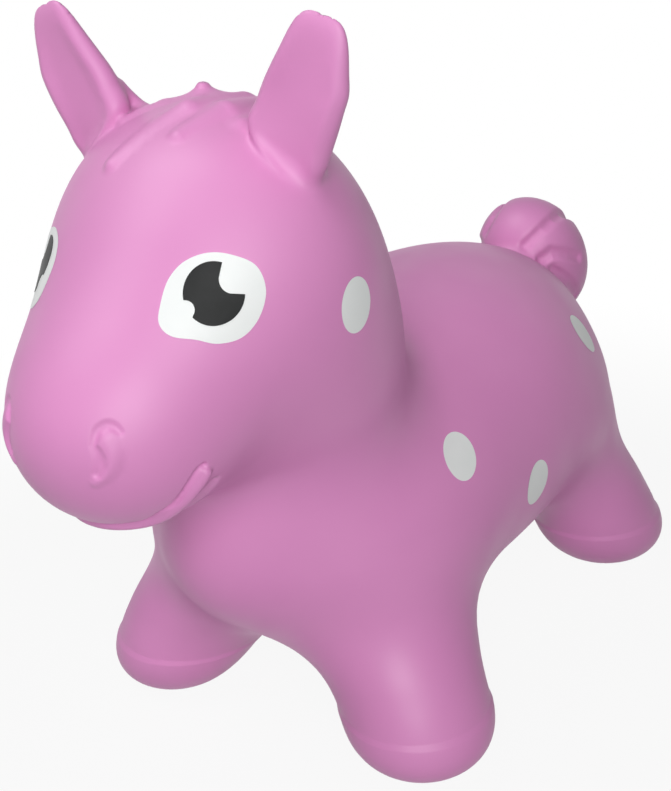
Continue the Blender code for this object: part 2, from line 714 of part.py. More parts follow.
def build_skin(pony, finish):
    skin = net_object("vinyl_skin", outside, OUTER_CELL, OUTER_TRIANGLES, finish, pony)
    cut(skin, floor_tool(pony))
    cut(skin, make_tool(net_object("air_space", cavity, CAVITY_CELL, CAVITY_TRIANGLES, parent=pony)))
    boss = cylinder_tool("valve_boss", BOSS_RADIUS, 0.0, BOSS_THICKNESS, pony)
    bore_radius = SEAT_BARREL_RADIUS + FIT_GAP
    hole = cylinder_tool("valve_hole", bore_radius, -BOSS_THICKNESS, BOSS_THICKNESS * 2, pony)
    boss.location = hole.location = valve_face()
    cut(skin, boss, "UNION")
    cut(skin, hole)
    return skin


def seat_profile():
    """The valve seat, from its flange under the boss to its lip inside the skin, as (radius, height)."""
    flange_top = -FIT_GAP
    flange_bottom = flange_top - SEAT_FLANGE_THICKNESS
    ledge = flange_bottom + PLUG_HEAD_SUNK
    lip_bottom = BOSS_THICKNESS + FIT_GAP
    lip_top = lip_bottom + SEAT_LIP_THICKNESS
    pocket = PLUG_HEAD_RADIUS + FIT_GAP
    return [
        (SEAT_BORE_RADIUS, ledge),
        (pocket, ledge),
        (pocket, flange_bottom),
        (SEAT_FLANGE_RADIUS - PLUG_HEAD_SUNK, flange_bottom),
        (SEAT_FLANGE_RADIUS, flange_bottom + PLUG_HEAD_SUNK),
        (SEAT_FLANGE_RADIUS, flange_top),
        (SEAT_BARREL_RADIUS, flange_top),
        (SEAT_BARREL_RADIUS, lip_bottom),
        (SEAT_LIP_RADIUS, lip_bottom),
        (SEAT_LIP_RADIUS - SEAT_LIP_THICKNESS / 2, lip_top),
        (SEAT_BORE_RADIUS, lip_top),
    ]


def plug_profile():
    """The plug, from its tip inside the skin down to its head, as (radius, height)."""
    ledge = -FIT_GAP - SEAT_FLANGE_THICKNESS + PLUG_HEAD_SUNK
    head_top = ledge - FIT_GAP
    head_bottom = head_top - PLUG_HEAD_THICKNESS
    stem_radius = SEAT_BORE_RADIUS - FIT_GAP
    stem_top = head_top + PLUG_STEM_LENGTH
    rib_pitch = (PLUG_STEM_LENGTH - PLUG_TIP_LENGTH) / (PLUG_RIB_COUNT + 1)
    outline = [(0.0, stem_top), (PLUG_TIP_RADIUS, stem_top), (stem_radius, stem_top - PLUG_TIP_LENGTH)]
    for rib in range(PLUG_RIB_COUNT):
        height = stem_top - PLUG_TIP_LENGTH - rib_pitch * (rib + 0.5)
        outline += [
            (stem_radius, height),
            (stem_radius - PLUG_RIB_DEPTH, height - PLUG_RIB_WIDTH),
            (stem_radius - PLUG_RIB_DEPTH, height - PLUG_RIB_WIDTH * 2),
            (stem_radius, height - PLUG_RIB_WIDTH * 2),
        ]
    outline += [
        (stem_radius, head_top),
        (PLUG_HEAD_RADIUS, head_top),
        (PLUG_HEAD_RADIUS, head_top - PLUG_HEAD_SUNK - NAIL_LIP),
        (PLUG_HEAD_RADIUS - NAIL_LIP, head_bottom),
        (0.0, head_bottom),
    ]
    return outline


def build_valve(pony, seat_finish, plug_finish):
    seat = add_object("valve_seat", turned_mesh("valve_seat", seat_profile()), seat_finish, pony)
    plug = add_object("valve_plug", turned_mesh("valve_plug", plug_profile()), plug_finish, pony)
    seat.location = plug.location = valve_face()


def eye_outline():
    """The eye white's outline, a smooth closed curve through its hand-placed points."""
    points = np.array(EYE_OUTLINE_SHARES) * (EYE_HALF_WIDTH, EYE_HALF_HEIGHT)
    count = len(points)
    outline = []
    for step in range(EYE_POINTS):
        at = step * count / EYE_POINTS
        i, t = int(at), at % 1
        before, start, end, after = (points[(i + k) % count] for k in (-1, 0, 1, 2))
        bend = (end - before) * (1 - t) / 2 - (after - start) * t / 2
        outline.append(start + (end - start) * t * t * (3 - 2 * t) + bend * t * (1 - t))
    return outline


def pupil_outline():
    """A round pupil with two round glints bitten from its edge."""
    glints = ((BIG_GLINT_OFFSET, BIG_GLINT_RADIUS), (SMALL_GLINT_OFFSET, SMALL_GLINT_RADIUS))
    outline = []
    for step in range(EYE_POINTS):
        angle = math.tau * step / EYE_POINTS
        ray = np.array((math.cos(angle), math.sin(angle)))
        reach = PUPIL_RADIUS
        for offset, radius in glints:
            along = ray @ np.array(offset)
            off_line = np.array(offset) @ np.array(offset) - along**2
            if along > 0 and off_line < radius**2:
                reach = min(reach, along - math.sqrt(radius**2 - off_line))
        outline.append(ray * reach + np.array(PUPIL_OFFSET))
    return outline


def spot_outline(lean_deg):
    lean = math.radians(lean_deg)
    right, up = np.array((math.cos(lean), math.sin(lean))), np.array((-math.sin(lean), math.cos(lean)))
    outline = []
    for step in range(SPOT_POINTS):
        angle = math.tau * step / SPOT_POINTS
        outline.append(right * SPOT_HALF_WIDTH * math.cos(angle) + up * SPOT_HALF_HEIGHT * math.sin(angle))
    return outline


def film(name, outline, start, aim_deg, side, lift, thickness, skin, finish):
    """A thin layer on the skin: a flat outline thrown onto it from outside, then thickened outward."""
    made = bmesh.new()
    middle = sum(outline) / len(outline)
    rings = []
    for ring in range(FILM_RINGS):
        share = 1 - ring / FILM_RINGS
        places = [middle + (point - middle) * share for point in outline]
        rings.append([made.verts.new((side * place[0], place[1], 0.0)) for place in places])
    centre = made.verts.new((side * middle[0], middle[1], 0.0))
    for outer, inner in zip(rings, rings[1:]):
        for i in range(len(outline)):
            j = (i + 1) % len(outline)
            made.faces.new((outer[i], outer[j], inner[j], inner[i]))
    for i in range(len(outline)):
        made.faces.new((rings[-1][i], rings[-1][(i + 1) % len(outline)], centre))
    if side < 0:
        bmesh.ops.reverse_faces(made, faces=made.faces)
    mesh = bpy.data.meshes.new(name)
    made.to_mesh(mesh)
    made.free()
    patch = add_object(name, mesh, finish, skin.parent)
    direction = Vector(towards(aim_deg[0] * side, aim_deg[1]))
    patch.rotation_euler = direction.to_track_quat("Z", "Y").to_euler()
    patch.location = Vector((0.0, *start)) + direction * FILM_STAND_OFF
    throw = patch.modifiers.new("throw", "SHRINKWRAP")
    throw.wrap_method = "PROJECT"
    throw.wrap_mode = "ABOVE_SURFACE"
    throw.use_project_z = True
    throw.use_negative_direction = True
    throw.use_positive_direction = False
    throw.target = skin
    throw.offset = lift
    layer = patch.modifiers.new("layer", "SOLIDIFY")
    layer.thickness = thickness
    layer.offset = 1.0
    return patch


def build_paint(skin, white, black):
    skull = (SKULL_Y, SKULL_Z)
    spots = {
        "spot_cheek": (skull, CHEEK_SPOT_AIM_DEG, CHEEK_SPOT_LEAN_DEG),
        "spot_shoulder": (SHOULDER_SPOT_FROM, SHOULDER_SPOT_AIM_DEG, SHOULDER_SPOT_LEAN_DEG),
        "spot_flank": (FLANK_SPOT_FROM, FLANK_SPOT_AIM_DEG, FLANK_SPOT_LEAN_DEG),
        "spot_hip": (HIP_SPOT_FROM, HIP_SPOT_AIM_DEG, HIP_SPOT_LEAN_DEG),
    }
    for side, end in ((1, "left"), (-1, "right")):
        eye = (skull, EYE_AIM_DEG, side)
        film("eye_white_" + end, eye_outline(), *eye, PAINT_GAP, WHITE_FILM, skin, white)
        film("eye_pupil_" + end, pupil_outline(), *eye, PAINT_GAP * 2 + WHITE_FILM, BLACK_FILM, skin, black)
        for name, (start, aim_deg, lean_deg) in spots.items():
            outline = spot_outline(lean_deg)
            film(f"{name}_{end}", outline, start, aim_deg, side, PAINT_GAP, WHITE_FILM, skin, white)


def main():
    for old in list(bpy.data.objects):
        bpy.data.objects.remove(old, do_unlink=True)
    pony = bpy.data.objects.new("pony", None)
    bpy.context.scene.collection.objects.link(pony)
    vinyl = material("pink_vinyl", PINK, 0.45)
    white = material("white_paint", WHITE, 0.4)
    black = material("black_paint", BLACK, 0.25)
    skin = build_skin(pony, vinyl)
    build_valve(pony, material("valve_seat_vinyl", PINK, 0.5), material("plug_plastic", PALE_PLASTIC, 0.35))
    build_paint(skin, white, black)
    lengthwise = [point.co.y for point in skin.data.vertices]
    pony.location.y = -(min(lengthwise) + max(lengthwise)) / 2


main()
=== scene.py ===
"""The look of a bouncy ride-on pony: pink moulded vinyl, painted eyes and spots, and a belly valve.

Metres, +Z up. The pony faces -Y and its left side is +X. Its moulded skin is one field, negative
inside, blended from simple forms and worked out in the moulding's own frame, which MOULD_Y shifts
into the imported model's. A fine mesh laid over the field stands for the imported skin.
"""

import math

import bmesh
import bpy
import numpy as np
from mathutils import Matrix, Vector


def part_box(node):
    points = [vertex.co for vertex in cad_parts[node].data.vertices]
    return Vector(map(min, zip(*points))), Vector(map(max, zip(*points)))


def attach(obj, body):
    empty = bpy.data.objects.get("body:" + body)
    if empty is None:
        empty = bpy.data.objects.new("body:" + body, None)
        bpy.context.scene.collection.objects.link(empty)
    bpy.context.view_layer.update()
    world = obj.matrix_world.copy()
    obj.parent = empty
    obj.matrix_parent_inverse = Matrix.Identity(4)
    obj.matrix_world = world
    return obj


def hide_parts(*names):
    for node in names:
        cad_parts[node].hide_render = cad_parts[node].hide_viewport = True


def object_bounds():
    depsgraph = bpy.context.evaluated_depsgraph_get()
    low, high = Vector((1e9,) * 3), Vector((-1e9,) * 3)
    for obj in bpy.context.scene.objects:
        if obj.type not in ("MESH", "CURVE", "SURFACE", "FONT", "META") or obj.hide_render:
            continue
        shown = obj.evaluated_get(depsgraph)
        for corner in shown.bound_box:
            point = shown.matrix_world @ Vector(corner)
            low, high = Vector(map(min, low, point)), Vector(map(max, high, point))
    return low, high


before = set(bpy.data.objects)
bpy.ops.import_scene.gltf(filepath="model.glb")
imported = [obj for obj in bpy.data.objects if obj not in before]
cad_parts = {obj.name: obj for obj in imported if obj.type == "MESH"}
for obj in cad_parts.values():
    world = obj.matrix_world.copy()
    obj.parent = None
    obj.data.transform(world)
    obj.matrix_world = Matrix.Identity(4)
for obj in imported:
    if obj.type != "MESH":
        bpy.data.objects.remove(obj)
CAD_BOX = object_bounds()

# Torso
TORSO_FRONT_Y = -0.185
TORSO_BACK_Y = 0.265
TORSO_STATION_SHARES = (0.0, 0.3, 0.65, 1.0)
TORSO_HALF_WIDTHS = (0.078, 0.117, 0.132, 0.102)
TORSO_TOPS = (0.2435, 0.2555, 0.2715, 0.2725)
TORSO_BOTTOMS = (0.0735, 0.0505, 0.0565, 0.0775)
TORSO_END_POWER = 3.0
TORSO_LEAST_SLOPE = 1 / TORSO_BACK_Y

# Legs
LEG_HEIGHTS = (0.0, 0.0235, 0.0655, 0.1105, 0.1605)
FRONT_LEG_RADII = (0.0460, 0.0495, 0.0480, 0.0400, 0.057)
REAR_LEG_RADII = (0.0465, 0.0500, 0.0485, 0.0475, 0.059)
FRONT_FOOT = (0.1055, -0.097)
FRONT_HIP = (0.038, -0.058)
REAR_FOOT = (0.100, 0.206)
REAR_HIP = (0.051, 0.152)
LEG_BOW_POWER = 1.5
LEG_BLEND = 0.056
LEG_TORSO_BLEND = 0.070
SOLE_ROUNDING = 0.034
SOLE_TRIM = 0.0006
HOOF_LINE_HEIGHT = 0.0395
HOOF_STEP = 0.0012
HOOF_STEP_HEIGHT = 0.004

# Neck and head
NECK_CENTRE = (0.0, -0.094, 0.2655)
NECK_RADII = (0.0915, 0.0785, 0.099)
NECK_BODY_BLEND = 0.04
NECK_HEAD_BLEND = 0.05
SKULL_CENTRE = (0.0, -0.131, 0.343)
SKULL_RADII = (0.1025, 0.086, 0.0965)
MUZZLE_CENTRE = (0.0, -0.2325, 0.2815)
MUZZLE_RADII = (0.058, 0.0565, 0.053)
MUZZLE_BLEND = 0.10

# Mouth: places round the muzzle are turns and rises seen from its middle
MOUTH_PLACES_DEG = (
    (0.0, -56.0),
    (25.0, -54.5),
    (48.0, -51.0),
    (60.0, -47.0),
    (66.5, -38.0),
    (73.7, -30.5),
    (77.5, -21.6),
    (80.6, -14.2),
    (83.7, -9.1),
    (86.3, -7.7),
)
MOUTH_RADIUS = 0.0020
MOUTH_DEPTH = 0.0018
MOUTH_BLEND = 0.0012
LIP_PLACES_DEG = (
    (0.0, -62.0),
    (27.0, -60.5),
    (52.0, -58.0),
    (68.0, -52.0),
    (76.5, -41.0),
    (80.5, -32.5),
    (84.0, -24.0),
    (87.0, -17.0),
    (88.5, -12.5),
)
LIP_RADII = (0.0030, 0.0032, 0.0036, 0.0042, 0.0046, 0.0048, 0.0046, 0.0041, 0.0033)
LIP_HEIGHT = 0.0030
LIP_BLEND = 0.002
JAW_TURN_DEG = 8.0
JAW_BELOW_DEG = 10.0
JAW_RADII = (0.0065, 0.0065, 0.0065, 0.0065, 0.0065, 0.0062, 0.0055, 0.0040, 0.0025)
JAW_DEPTH = 0.0020
JAW_BLEND = 0.004
ROW_STEPS = 4

# Nostrils
NOSTRIL_PLACES_DEG = (
    (40.3, 15.9),
    (41.7, 11.1),
    (41.7, 6.9),
    (38.9, 1.5),
    (35.3, -2.4),
    (31.1, -5.9),
)
NOSTRIL_RADII = (0.0070, 0.0062, 0.0052, 0.0040, 0.0028, 0.0014)
NOSTRIL_HEIGHTS = (0.0010, 0.0012, 0.0013, 0.0012, 0.0009, 0.0004)
NOSTRIL_BLEND = 0.0040
ARCH_PLACES_DEG = (
    (32.4, 14.9),
    (33.9, 19.4),
    (35.9, 22.8),
    (40.4, 24.6),
    (44.5, 23.4),
    (47.2, 20.6),
)
ARCH_RADII = (0.0013, 0.0019, 0.0021, 0.0021, 0.0018, 0.0010)
ARCH_DEPTHS = (0.0006, 0.0011, 0.0012, 0.0012, 0.0009, 0.0003)
HOLLOW_PLACES_DEG = ((33.6, 11.7), (34.4, 7.4), (34.2, 3.5), (32.6, -0.4))
HOLLOW_RADII = (0.0024, 0.0036, 0.0036, 0.0024)
HOLLOW_DEPTH = 0.0007
GROOVE_BLEND = 0.0024

# Ears
EAR_CENTRE = (0.0763, -0.142, 0.4305)
EAR_HALF_LENGTH = 0.066
EAR_STATION_SHARES = (-0.35, -0.1, 0.15, 0.3, 0.45, 0.62, 1.0)
EAR_HALF_WIDTHS = (0.0130, 0.0249, 0.0255, 0.0252, 0.0243, 0.0218, 0.0185)
EAR_MIDDLES = (0.0060, -0.0051, -0.0037, -0.0024, -0.0007, -0.0003, 0.0)
EAR_FRONTS = (-0.0090, -0.0090, -0.0088, -0.0086, -0.0082, -0.0076, -0.0060)
EAR_BACKS = (0.0120, 0.0118, 0.0110, 0.0100, 0.0090, 0.0078, 0.0055)
EAR_ROOT_SHARE = 0.15
EAR_END_SLOPE = 4.0
EAR_LEAN_OUT_DEG = 19.0
EAR_TURNS_DEG = (12.0, 6.0, 0.5, 0.0, 1.5, 3.2, 7.0)
EAR_RIM = 0.0062
EAR_DISH_DEPTH = 0.0036
EAR_DISH_LIFT = 0.004
EAR_DISH_BLEND = 0.005
EAR_BLEND = 0.009
EAR_LIP_POINTS = (
    (0.0360, -0.1390, 0.4290),
    (0.0460, -0.1300, 0.4270),
    (0.0550, -0.1305, 0.4245),
    (0.0655, -0.1335, 0.4195),
    (0.0770, -0.1310, 0.4085),
)
EAR_LIP_RADII = (0.0035, 0.0045, 0.0052, 0.0050, 0.0040)
EAR_WEB_POINTS = ((0.0600, -0.1300, 0.4440), (0.0505, -0.1235, 0.4300))
EAR_WEB_RADII = (0.0035, 0.0042)
EAR_LIP_BLEND = 0.004

# Forelock
FORELOCK_Y = -0.100
FORELOCK_HALF_WIDTH = 0.042
FORELOCK_REACH = 0.084
FORELOCK_LOCK_SHARES = (
    ((0.15, 0.0), (0.05, 0.5), (-0.5, 1.0)),
    ((0.5, 0.0), (0.5, 0.4), (0.3, 0.78)),
    ((-0.3, 0.0), (-0.6, 0.35), (-1.0, 0.55)),
    ((0.7, 0.0), (0.9, 0.25), (1.1, 0.45)),
)
FORELOCK_TAPER_SHARES = (1.0, 0.85, 0.35)
FORELOCK_LOCK_RADIUS = 0.0115
FORELOCK_RISES = (0.0060, 0.0060, 0.0030, 0.0045)
FORELOCK_BLEND = 0.005
TUFT_PLACE_SHARES = (-0.20, 0.19)
TUFT_RISES = (-0.0150, 0.0066)
TUFT_RADII = (0.0160, 0.0028)
TUFT_BLEND = 0.014

# Tail
TAIL_CENTRE = (0.0, 0.280, 0.2145)
TAIL_RADII = (0.0465, 0.0415, 0.0575)
TAIL_TILT_DEG = 24.0
TAIL_BLEND = 0.012
# Each crease's places on the bob: share across, and angle round it
TAIL_CREASES = (
    ((-0.58, 120.0), (-0.49, 109.0), (-0.45, 97.0), (-0.42, 66.0), (-0.38, 30.0), (-0.30, -10.0)),
    (
        (0.31, 133.0), (0.42, 123.0), (0.53, 108.0), (0.60, 86.0), (0.60, 61.0), (0.54, 25.0),
        (0.42, -15.0),
    ),
    ((0.55, 145.0), (0.64, 139.0), (0.71, 132.0), (0.82, 129.0), (0.91, 124.0), (0.98, 106.0)),
    ((0.72, 156.0), (0.83, 165.0), (0.90, 186.0), (0.87, 238.0)),
    ((-0.55, 145.0), (-0.64, 139.0), (-0.71, 132.0), (-0.82, 129.0), (-0.91, 124.0), (-0.98, 106.0)),
)
TAIL_CREASE_LIFTS = (0.0026, 0.0012, 0.0012, 0.0020, 0.0012)
TAIL_CREASE_RADIUS = 0.0040
TAIL_CREASE_BLEND = 0.004

# Valve
BOSS_RADIUS = 0.019
BOSS_THICKNESS = 0.007
BOSS_BLEND = 0.003
BOSS_EDGE = 0.0015
VALVE_BORE_RADIUS = 0.0078
VALVE_POCKET_RADIUS = 0.024
SEAT_BELOW_FACE = 0.0029

# Rooms: a form is worked out only between its box's two corners
FAR = 1.0
FRONT_LEG_ROOM = ((-FAR, -0.25, -FAR), (FAR, 0.08, 0.26))
REAR_LEG_ROOM = ((-FAR, 0.03, -FAR), (FAR, 0.35, 0.26))
HEAD_ROOM = ((-FAR, -FAR, 0.10), (FAR, 0.08, FAR))
MOUTH_ROOM = ((-0.09, -0.31, 0.20), (0.09, -0.18, 0.31))
NOSTRIL_ROOM = ((-0.08, -0.31, 0.25), (0.08, -0.23, 0.34))
EAR_ROOM = ((-FAR, -0.21, 0.34), (FAR, -0.08, FAR))
FORELOCK_ROOM = ((-0.08, -0.23, 0.38), (0.08, -0.06, 0.50))
TAIL_ROOM = ((-0.09, 0.19, 0.12), (0.09, 0.36, 0.31))
VALVE_ROOM_HALF = 0.04
VALVE_ROOM_TOP = 0.13
SKIN_ROOM = ((-0.17, -0.31, -0.02), (0.17, 0.35, 0.52))

# Skin mesh
SKIN_CELL = 0.0045
WARM_UP_CELL = 0.036
NEAR_CELLS = 1.8
SETTLE_ROUNDS = 2
SLOPE_STEPS_A_CELL = 10
BEND_DEG = 9.0
REFINE_ROUNDS = 3
TRIANGLE_LIMIT = 190000
NORMAL_STEP = 0.0003
SEARCH_REACH = 0.35
SEARCH_HALVINGS = 40
SLIGHT = 1e-6

# Paint
PAINT_LIFT = 0.00008
PAINT_THICKNESS = 0.00022
PUPIL_LIFT = 0.00034
PAINT_MERGE = PAINT_THICKNESS / 20
EYE_AIM_DEG = (37.9, 8.5)
EYE_HALF_WIDTH = 0.0287
EYE_HALF_HEIGHT = 0.0232
EYE_OUTLINE_SHARES = (
    (0.98, 0.03),
    (0.84, 0.60),
    (0.40, 0.90),
    (-0.03, 0.98),
    (-0.46, 0.83),
    (-0.77, 0.48),
    (-0.95, -0.03),
    (-1.0, -0.42),
    (-0.80, -0.70),
    (-0.37, -0.84),
    (0.03, -1.0),
    (0.47, -0.94),
    (0.81, -0.56),
)
PUPIL_RADIUS = 0.0162
PUPIL_OFFSET = (0.0010, 0.0022)
BIG_GLINT_OFFSET = (0.0107, 0.0064)
BIG_GLINT_RADIUS = 0.0076
SMALL_GLINT_OFFSET = (-0.0155, -0.0066)
SMALL_GLINT_RADIUS = 0.0048
SPOT_HALF_WIDTH = 0.0125
SPOT_HALF_HEIGHT = 0.0162
SPOT_CELLS = 26
# Each spot's start inside the body (y, z), the turn and rise it is thrown at from there, and its lean
SPOTS = {
    "spot_cheek": ((SKULL_CENTRE[1], SKULL_CENTRE[2]), (86.6, -4.7), -3.5),
    "spot_shoulder": ((-0.020, 0.1455), (79.7, 25.4), -19.5),
    "spot_flank": ((0.027, 0.1605), (90.5, -4.2), -11.0),
    "spot_hip": ((0.110, 0.1605), (110.5, 24.4), 7.0),
}
OUTLINE_POINTS = 96
FILM_RINGS = 14
FILM_STAND_OFF = 0.15
FILM_THROW = 1.0

# Photograph's view, in the moulding's frame
IMAGE_SIZE = (671, 791)
CAMERA_TURN = 0.6207
CAMERA_RISE = 0.4225
CAMERA_ROLL = -0.076
CAMERA_DISTANCE = 0.9478
CAMERA_FOCUS_PX = 1408.3
CAMERA_TARGET = (0.0116, -0.0366, 0.2205)
SENSOR_MM = 36.0
CAMERA_CLIP = (0.05, 50.0)

# Colours
PINK = (0.74, 0.285, 0.575)
DEEP_PINK = (0.70, 0.255, 0.545)
WHITE = (0.88, 0.90, 0.89)
WHITE_SHADE = (0.84, 0.87, 0.86)
BLACK = (0.018, 0.019, 0.019)
BLACK_SHADE = (0.026, 0.027, 0.028)
STOPPER = (0.80, 0.78, 0.76)
STOPPER_SHADE = (0.76, 0.74, 0.71)

# Finishes: each one's main and second colour, and where it departs from finish_of's usual values
FINISHES = {
    "pink_vinyl": (PINK, DEEP_PINK, {"roughness": 0.46}),
    "valve_seat_vinyl": (PINK, DEEP_PINK, {"roughness": 0.38}),
    "plug_plastic": (STOPPER, STOPPER_SHADE, {"roughness": 0.3, "grain": 0.0008, "bump": 0.02}),
    "white_paint": (WHITE, WHITE_SHADE, {"roughness": 0.42, "patch": 0.02, "bump": 0.04}),
    "black_paint": (
        BLACK, BLACK_SHADE, {"roughness": 0.42, "patch": 0.01, "bump": 0.03, "specular": 0.12},
    ),
}
PATCH_SIZE = 0.08
MOTTLE_SHARE = 0.5
MOTTLE_DETAIL = 3.0
MOTTLE_ROUGHNESS = 0.45
MOTTLE_RANGE = (0.35, 0.65)
GRAIN_SIZE = 0.0016
GRAIN_DETAIL = 2.0
GRAIN_BUMP = 0.06
GRAIN_DEPTH_SHARE = 0.25
WAVE_SIZE = 0.03
WAVE_DETAIL = 1.0
WAVE_SHARE = 0.5
GLOSS_RANGE = (0.3, 0.7)
GLOSS_SHIFT = 0.04
SPECULAR = 0.5

# Light and floor
ROOM_LIGHT = 0.06
FLOOR_HALF_SIZE = 4.0
FLOOR_DROP = -0.0004
FLOOR_FADE = (0.35, 0.75)
FLOOR_WHITE_SHARE = 0.92
FLOOR_COLOUR = (0.45, 0.45, 0.45, 1.0)
PAPER_WHITE = (1.0, 1.0, 1.0, 1.0)
# Each lamp's name, place, aim, size, power and colour
LAMPS = (
    ("window_light", (1.02, -1.40, 1.0), (0.0, 0.0, 0.22), 1.2, 22.0, (1.0, 1.0, 1.0)),
    ("high_light", (-0.54, -0.65, 1.81), (0.0, 0.0, 0.22), 1.2, 13.0, (0.99, 0.99, 1.0)),
)

# The moulding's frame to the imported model's, by the valve's place
VALVE_Y = TORSO_FRONT_Y + (TORSO_BACK_Y - TORSO_FRONT_Y) * 0.5
MOULD_Y = (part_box("valve_seat")[0][1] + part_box("valve_seat")[1][1]) / 2 - VALVE_Y
VALVE_FACE_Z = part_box("valve_seat")[0][2] + SEAT_BELOW_FACE
VALVE_ROOM = (
    (-VALVE_ROOM_HALF, VALVE_Y - VALVE_ROOM_HALF, -FAR),
    (VALVE_ROOM_HALF, VALVE_Y + VALVE_ROOM_HALF, VALVE_ROOM_TOP),
)


# Small tools of the field

def lengths(vectors):
    return np.sqrt((vectors * vectors).sum(-1))


def turn_about_x(angle_deg):
    c, s = math.cos(math.radians(angle_deg)), math.sin(math.radians(angle_deg))
    return np.array([[1.0, 0.0, 0.0], [0.0, c, -s], [0.0, s, c]])


def turn_about_y(angle_deg):
    c, s = math.cos(math.radians(angle_deg)), math.sin(math.radians(angle_deg))
    return np.array([[c, 0.0, s], [0.0, 1.0, 0.0], [-s, 0.0, c]])


def towards(turn_deg, rise_deg):
    """Unit vector turned from straight ahead to the pony's left, and raised."""
    turn, rise = math.radians(turn_deg), math.radians(rise_deg)
    return np.array([math.sin(turn) * math.cos(rise), -math.cos(turn) * math.cos(rise), math.sin(rise)])


def blend(a, b, radius):
    """The union of two fields, with a fillet where they meet."""
    h = np.maximum(radius - np.abs(a - b), 0.0) / radius
    return np.minimum(a, b) - h * h * radius / 4


def overlap(a, b, radius):
    """What two fields share, with a rounded edge where they meet."""
    return -blend(-a, -b, radius)


def through(stations, values, at):
    """A smooth curve through the values given at some stations."""
    stations = np.asarray(stations, float)
    values = np.asarray(values, float)
    slopes = np.gradient(values, stations)
    i = np.clip(np.searchsorted(stations, at) - 1, 0, len(stations) - 2)
    span = stations[i + 1] - stations[i]
    s = np.clip((at - stations[i]) / span, 0.0, 1.0)
    start, end = values[i], values[i + 1]
    bend = (1 - s) * s * span * ((1 - s) * slopes[i] - s * slopes[i + 1])
    return start + (end - start) * s * s * (3 - 2 * s) + bend


def mirrored(p):
    """Each point on the pony's left side."""
    return np.concatenate([np.abs(p[:, :1]), p[:, 1:]], axis=-1)


def egg(p, centre, radii, turned=None):
    """An ellipsoid, turned by a matrix if one is given."""
    q = p - np.array(centre)
    if turned is not None:
        q = q @ turned
    radii = np.array(radii)
    near = lengths(q / radii)
    steep = np.maximum(lengths(q / radii**2), SLIGHT)
    return near * (near - 1) / steep


def tapered_rod(p, start, end, start_radius, end_radius):
    """A rod whose radius runs from one to the other, with a ball at each end."""
    start, along = np.asarray(start), np.asarray(end) - np.asarray(start)
    t = np.clip((p - start) @ along / (along @ along), 0.0, 1.0)
    radius = start_radius + (end_radius - start_radius) * t
    return lengths(p - start - t[:, None] * along) - radius


def tapered_chain(p, points, radii):
    """Rods end to end through a row of points."""
    rods = zip(points[:-1], points[1:], radii[:-1], radii[1:])
    return np.min([tapered_rod(p, a, b, ra, rb) for a, b, ra, rb in rods], axis=0)


def only_near(p, shape, room, change):
    """The field with a change made to it between a box's two corners only."""
    inside = np.all((p > room[0]) & (p < room[1]), axis=-1)
    if inside.any():
        shape = shape.copy()
        shape[inside] = change(p[inside], shape[inside])
    return shape


def with_form(form, radius, *sizes):
    """A change that blends one more form into a field."""
    return lambda p, shape: blend(shape, form(p, *sizes), radius)


def on_surface(field, origin, direction, sink=0.0):
    """Where a line from a point inside the field leaves it, less a depth."""
    near, far = 0.0, SEARCH_REACH
    for _ in range(SEARCH_HALVINGS):
        middle = (near + far) / 2
        if field((origin + direction * middle)[None])[0] < 0:
            near = middle
        else:
            far = middle
    return origin + direction * (near - sink)


# The pony's forms

def torso(p):
    """A barrel with flattened ends, read from its width, top and bottom at four stations."""
    x, y, z = p.T
    length = TORSO_BACK_Y - TORSO_FRONT_Y
    share = np.clip((y - TORSO_FRONT_Y) / length, 0.0, 1.0)
    width = through(TORSO_STATION_SHARES, TORSO_HALF_WIDTHS, share)
    top = through(TORSO_STATION_SHARES, TORSO_TOPS, share)
    bottom = through(TORSO_STATION_SHARES, TORSO_BOTTOMS, share)
    middle, height = (top + bottom) / 2, (top - bottom) / 2
    end = np.abs(2 * (y - TORSO_FRONT_Y) / length - 1)
    power = TORSO_END_POWER
    reach = np.sqrt((x / width) ** 2 + ((z - middle) / height) ** 2 + end**power)
    across, upward = x / width**2, (z - middle) / height**2
    slope = np.sqrt(across**2 + upward**2 + (power * end ** (power - 1) / length) ** 2)
    return (reach - 1) * reach / np.maximum(slope, TORSO_LEAST_SLOPE)


def leg(p, foot, hip, radii):
    """A pair of bowed legs with a hoof line and a flat sole, rounded at its edge."""
    q = mirrored(p)
    z = q[:, 2]
    rise = np.clip(z / LEG_HEIGHTS[-1], 0.0, 1.0) ** LEG_BOW_POWER
    from_x = q[:, 0] - foot[0] - (hip[0] - foot[0]) * rise
    from_y = q[:, 1] - foot[1] - (hip[1] - foot[1]) * rise
    hoof = np.clip((HOOF_LINE_HEIGHT - z) / HOOF_STEP_HEIGHT, 0.0, 1.0)
    radius = through(LEG_HEIGHTS, radii, z) + HOOF_STEP * hoof
    side = np.hypot(from_x, from_y) - radius
    side = overlap(side, -SOLE_TRIM - z, SOLE_ROUNDING)
    return overlap(side, z - LEG_HEIGHTS[-1], LEG_BLEND)


def plain_head(p):
    """Skull, muzzle and neck."""
    skull = egg(p, SKULL_CENTRE, SKULL_RADII)
    muzzle = egg(p, MUZZLE_CENTRE, MUZZLE_RADII)
    neck = egg(p, NECK_CENTRE, NECK_RADII)
    return blend(blend(skull, muzzle, MUZZLE_BLEND), neck, NECK_HEAD_BLEND)


def body(p):
    """The torso on its four legs."""
    front = with_form(leg, LEG_TORSO_BLEND, FRONT_FOOT, FRONT_HIP, FRONT_LEG_RADII)
    rear = with_form(leg, LEG_BLEND, REAR_FOOT, REAR_HIP, REAR_LEG_RADII)
    shape = only_near(p, torso(p), FRONT_LEG_ROOM, front)
    return only_near(p, shape, REAR_LEG_ROOM, rear)


MUZZLE_MIDDLE = np.array(MUZZLE_CENTRE)


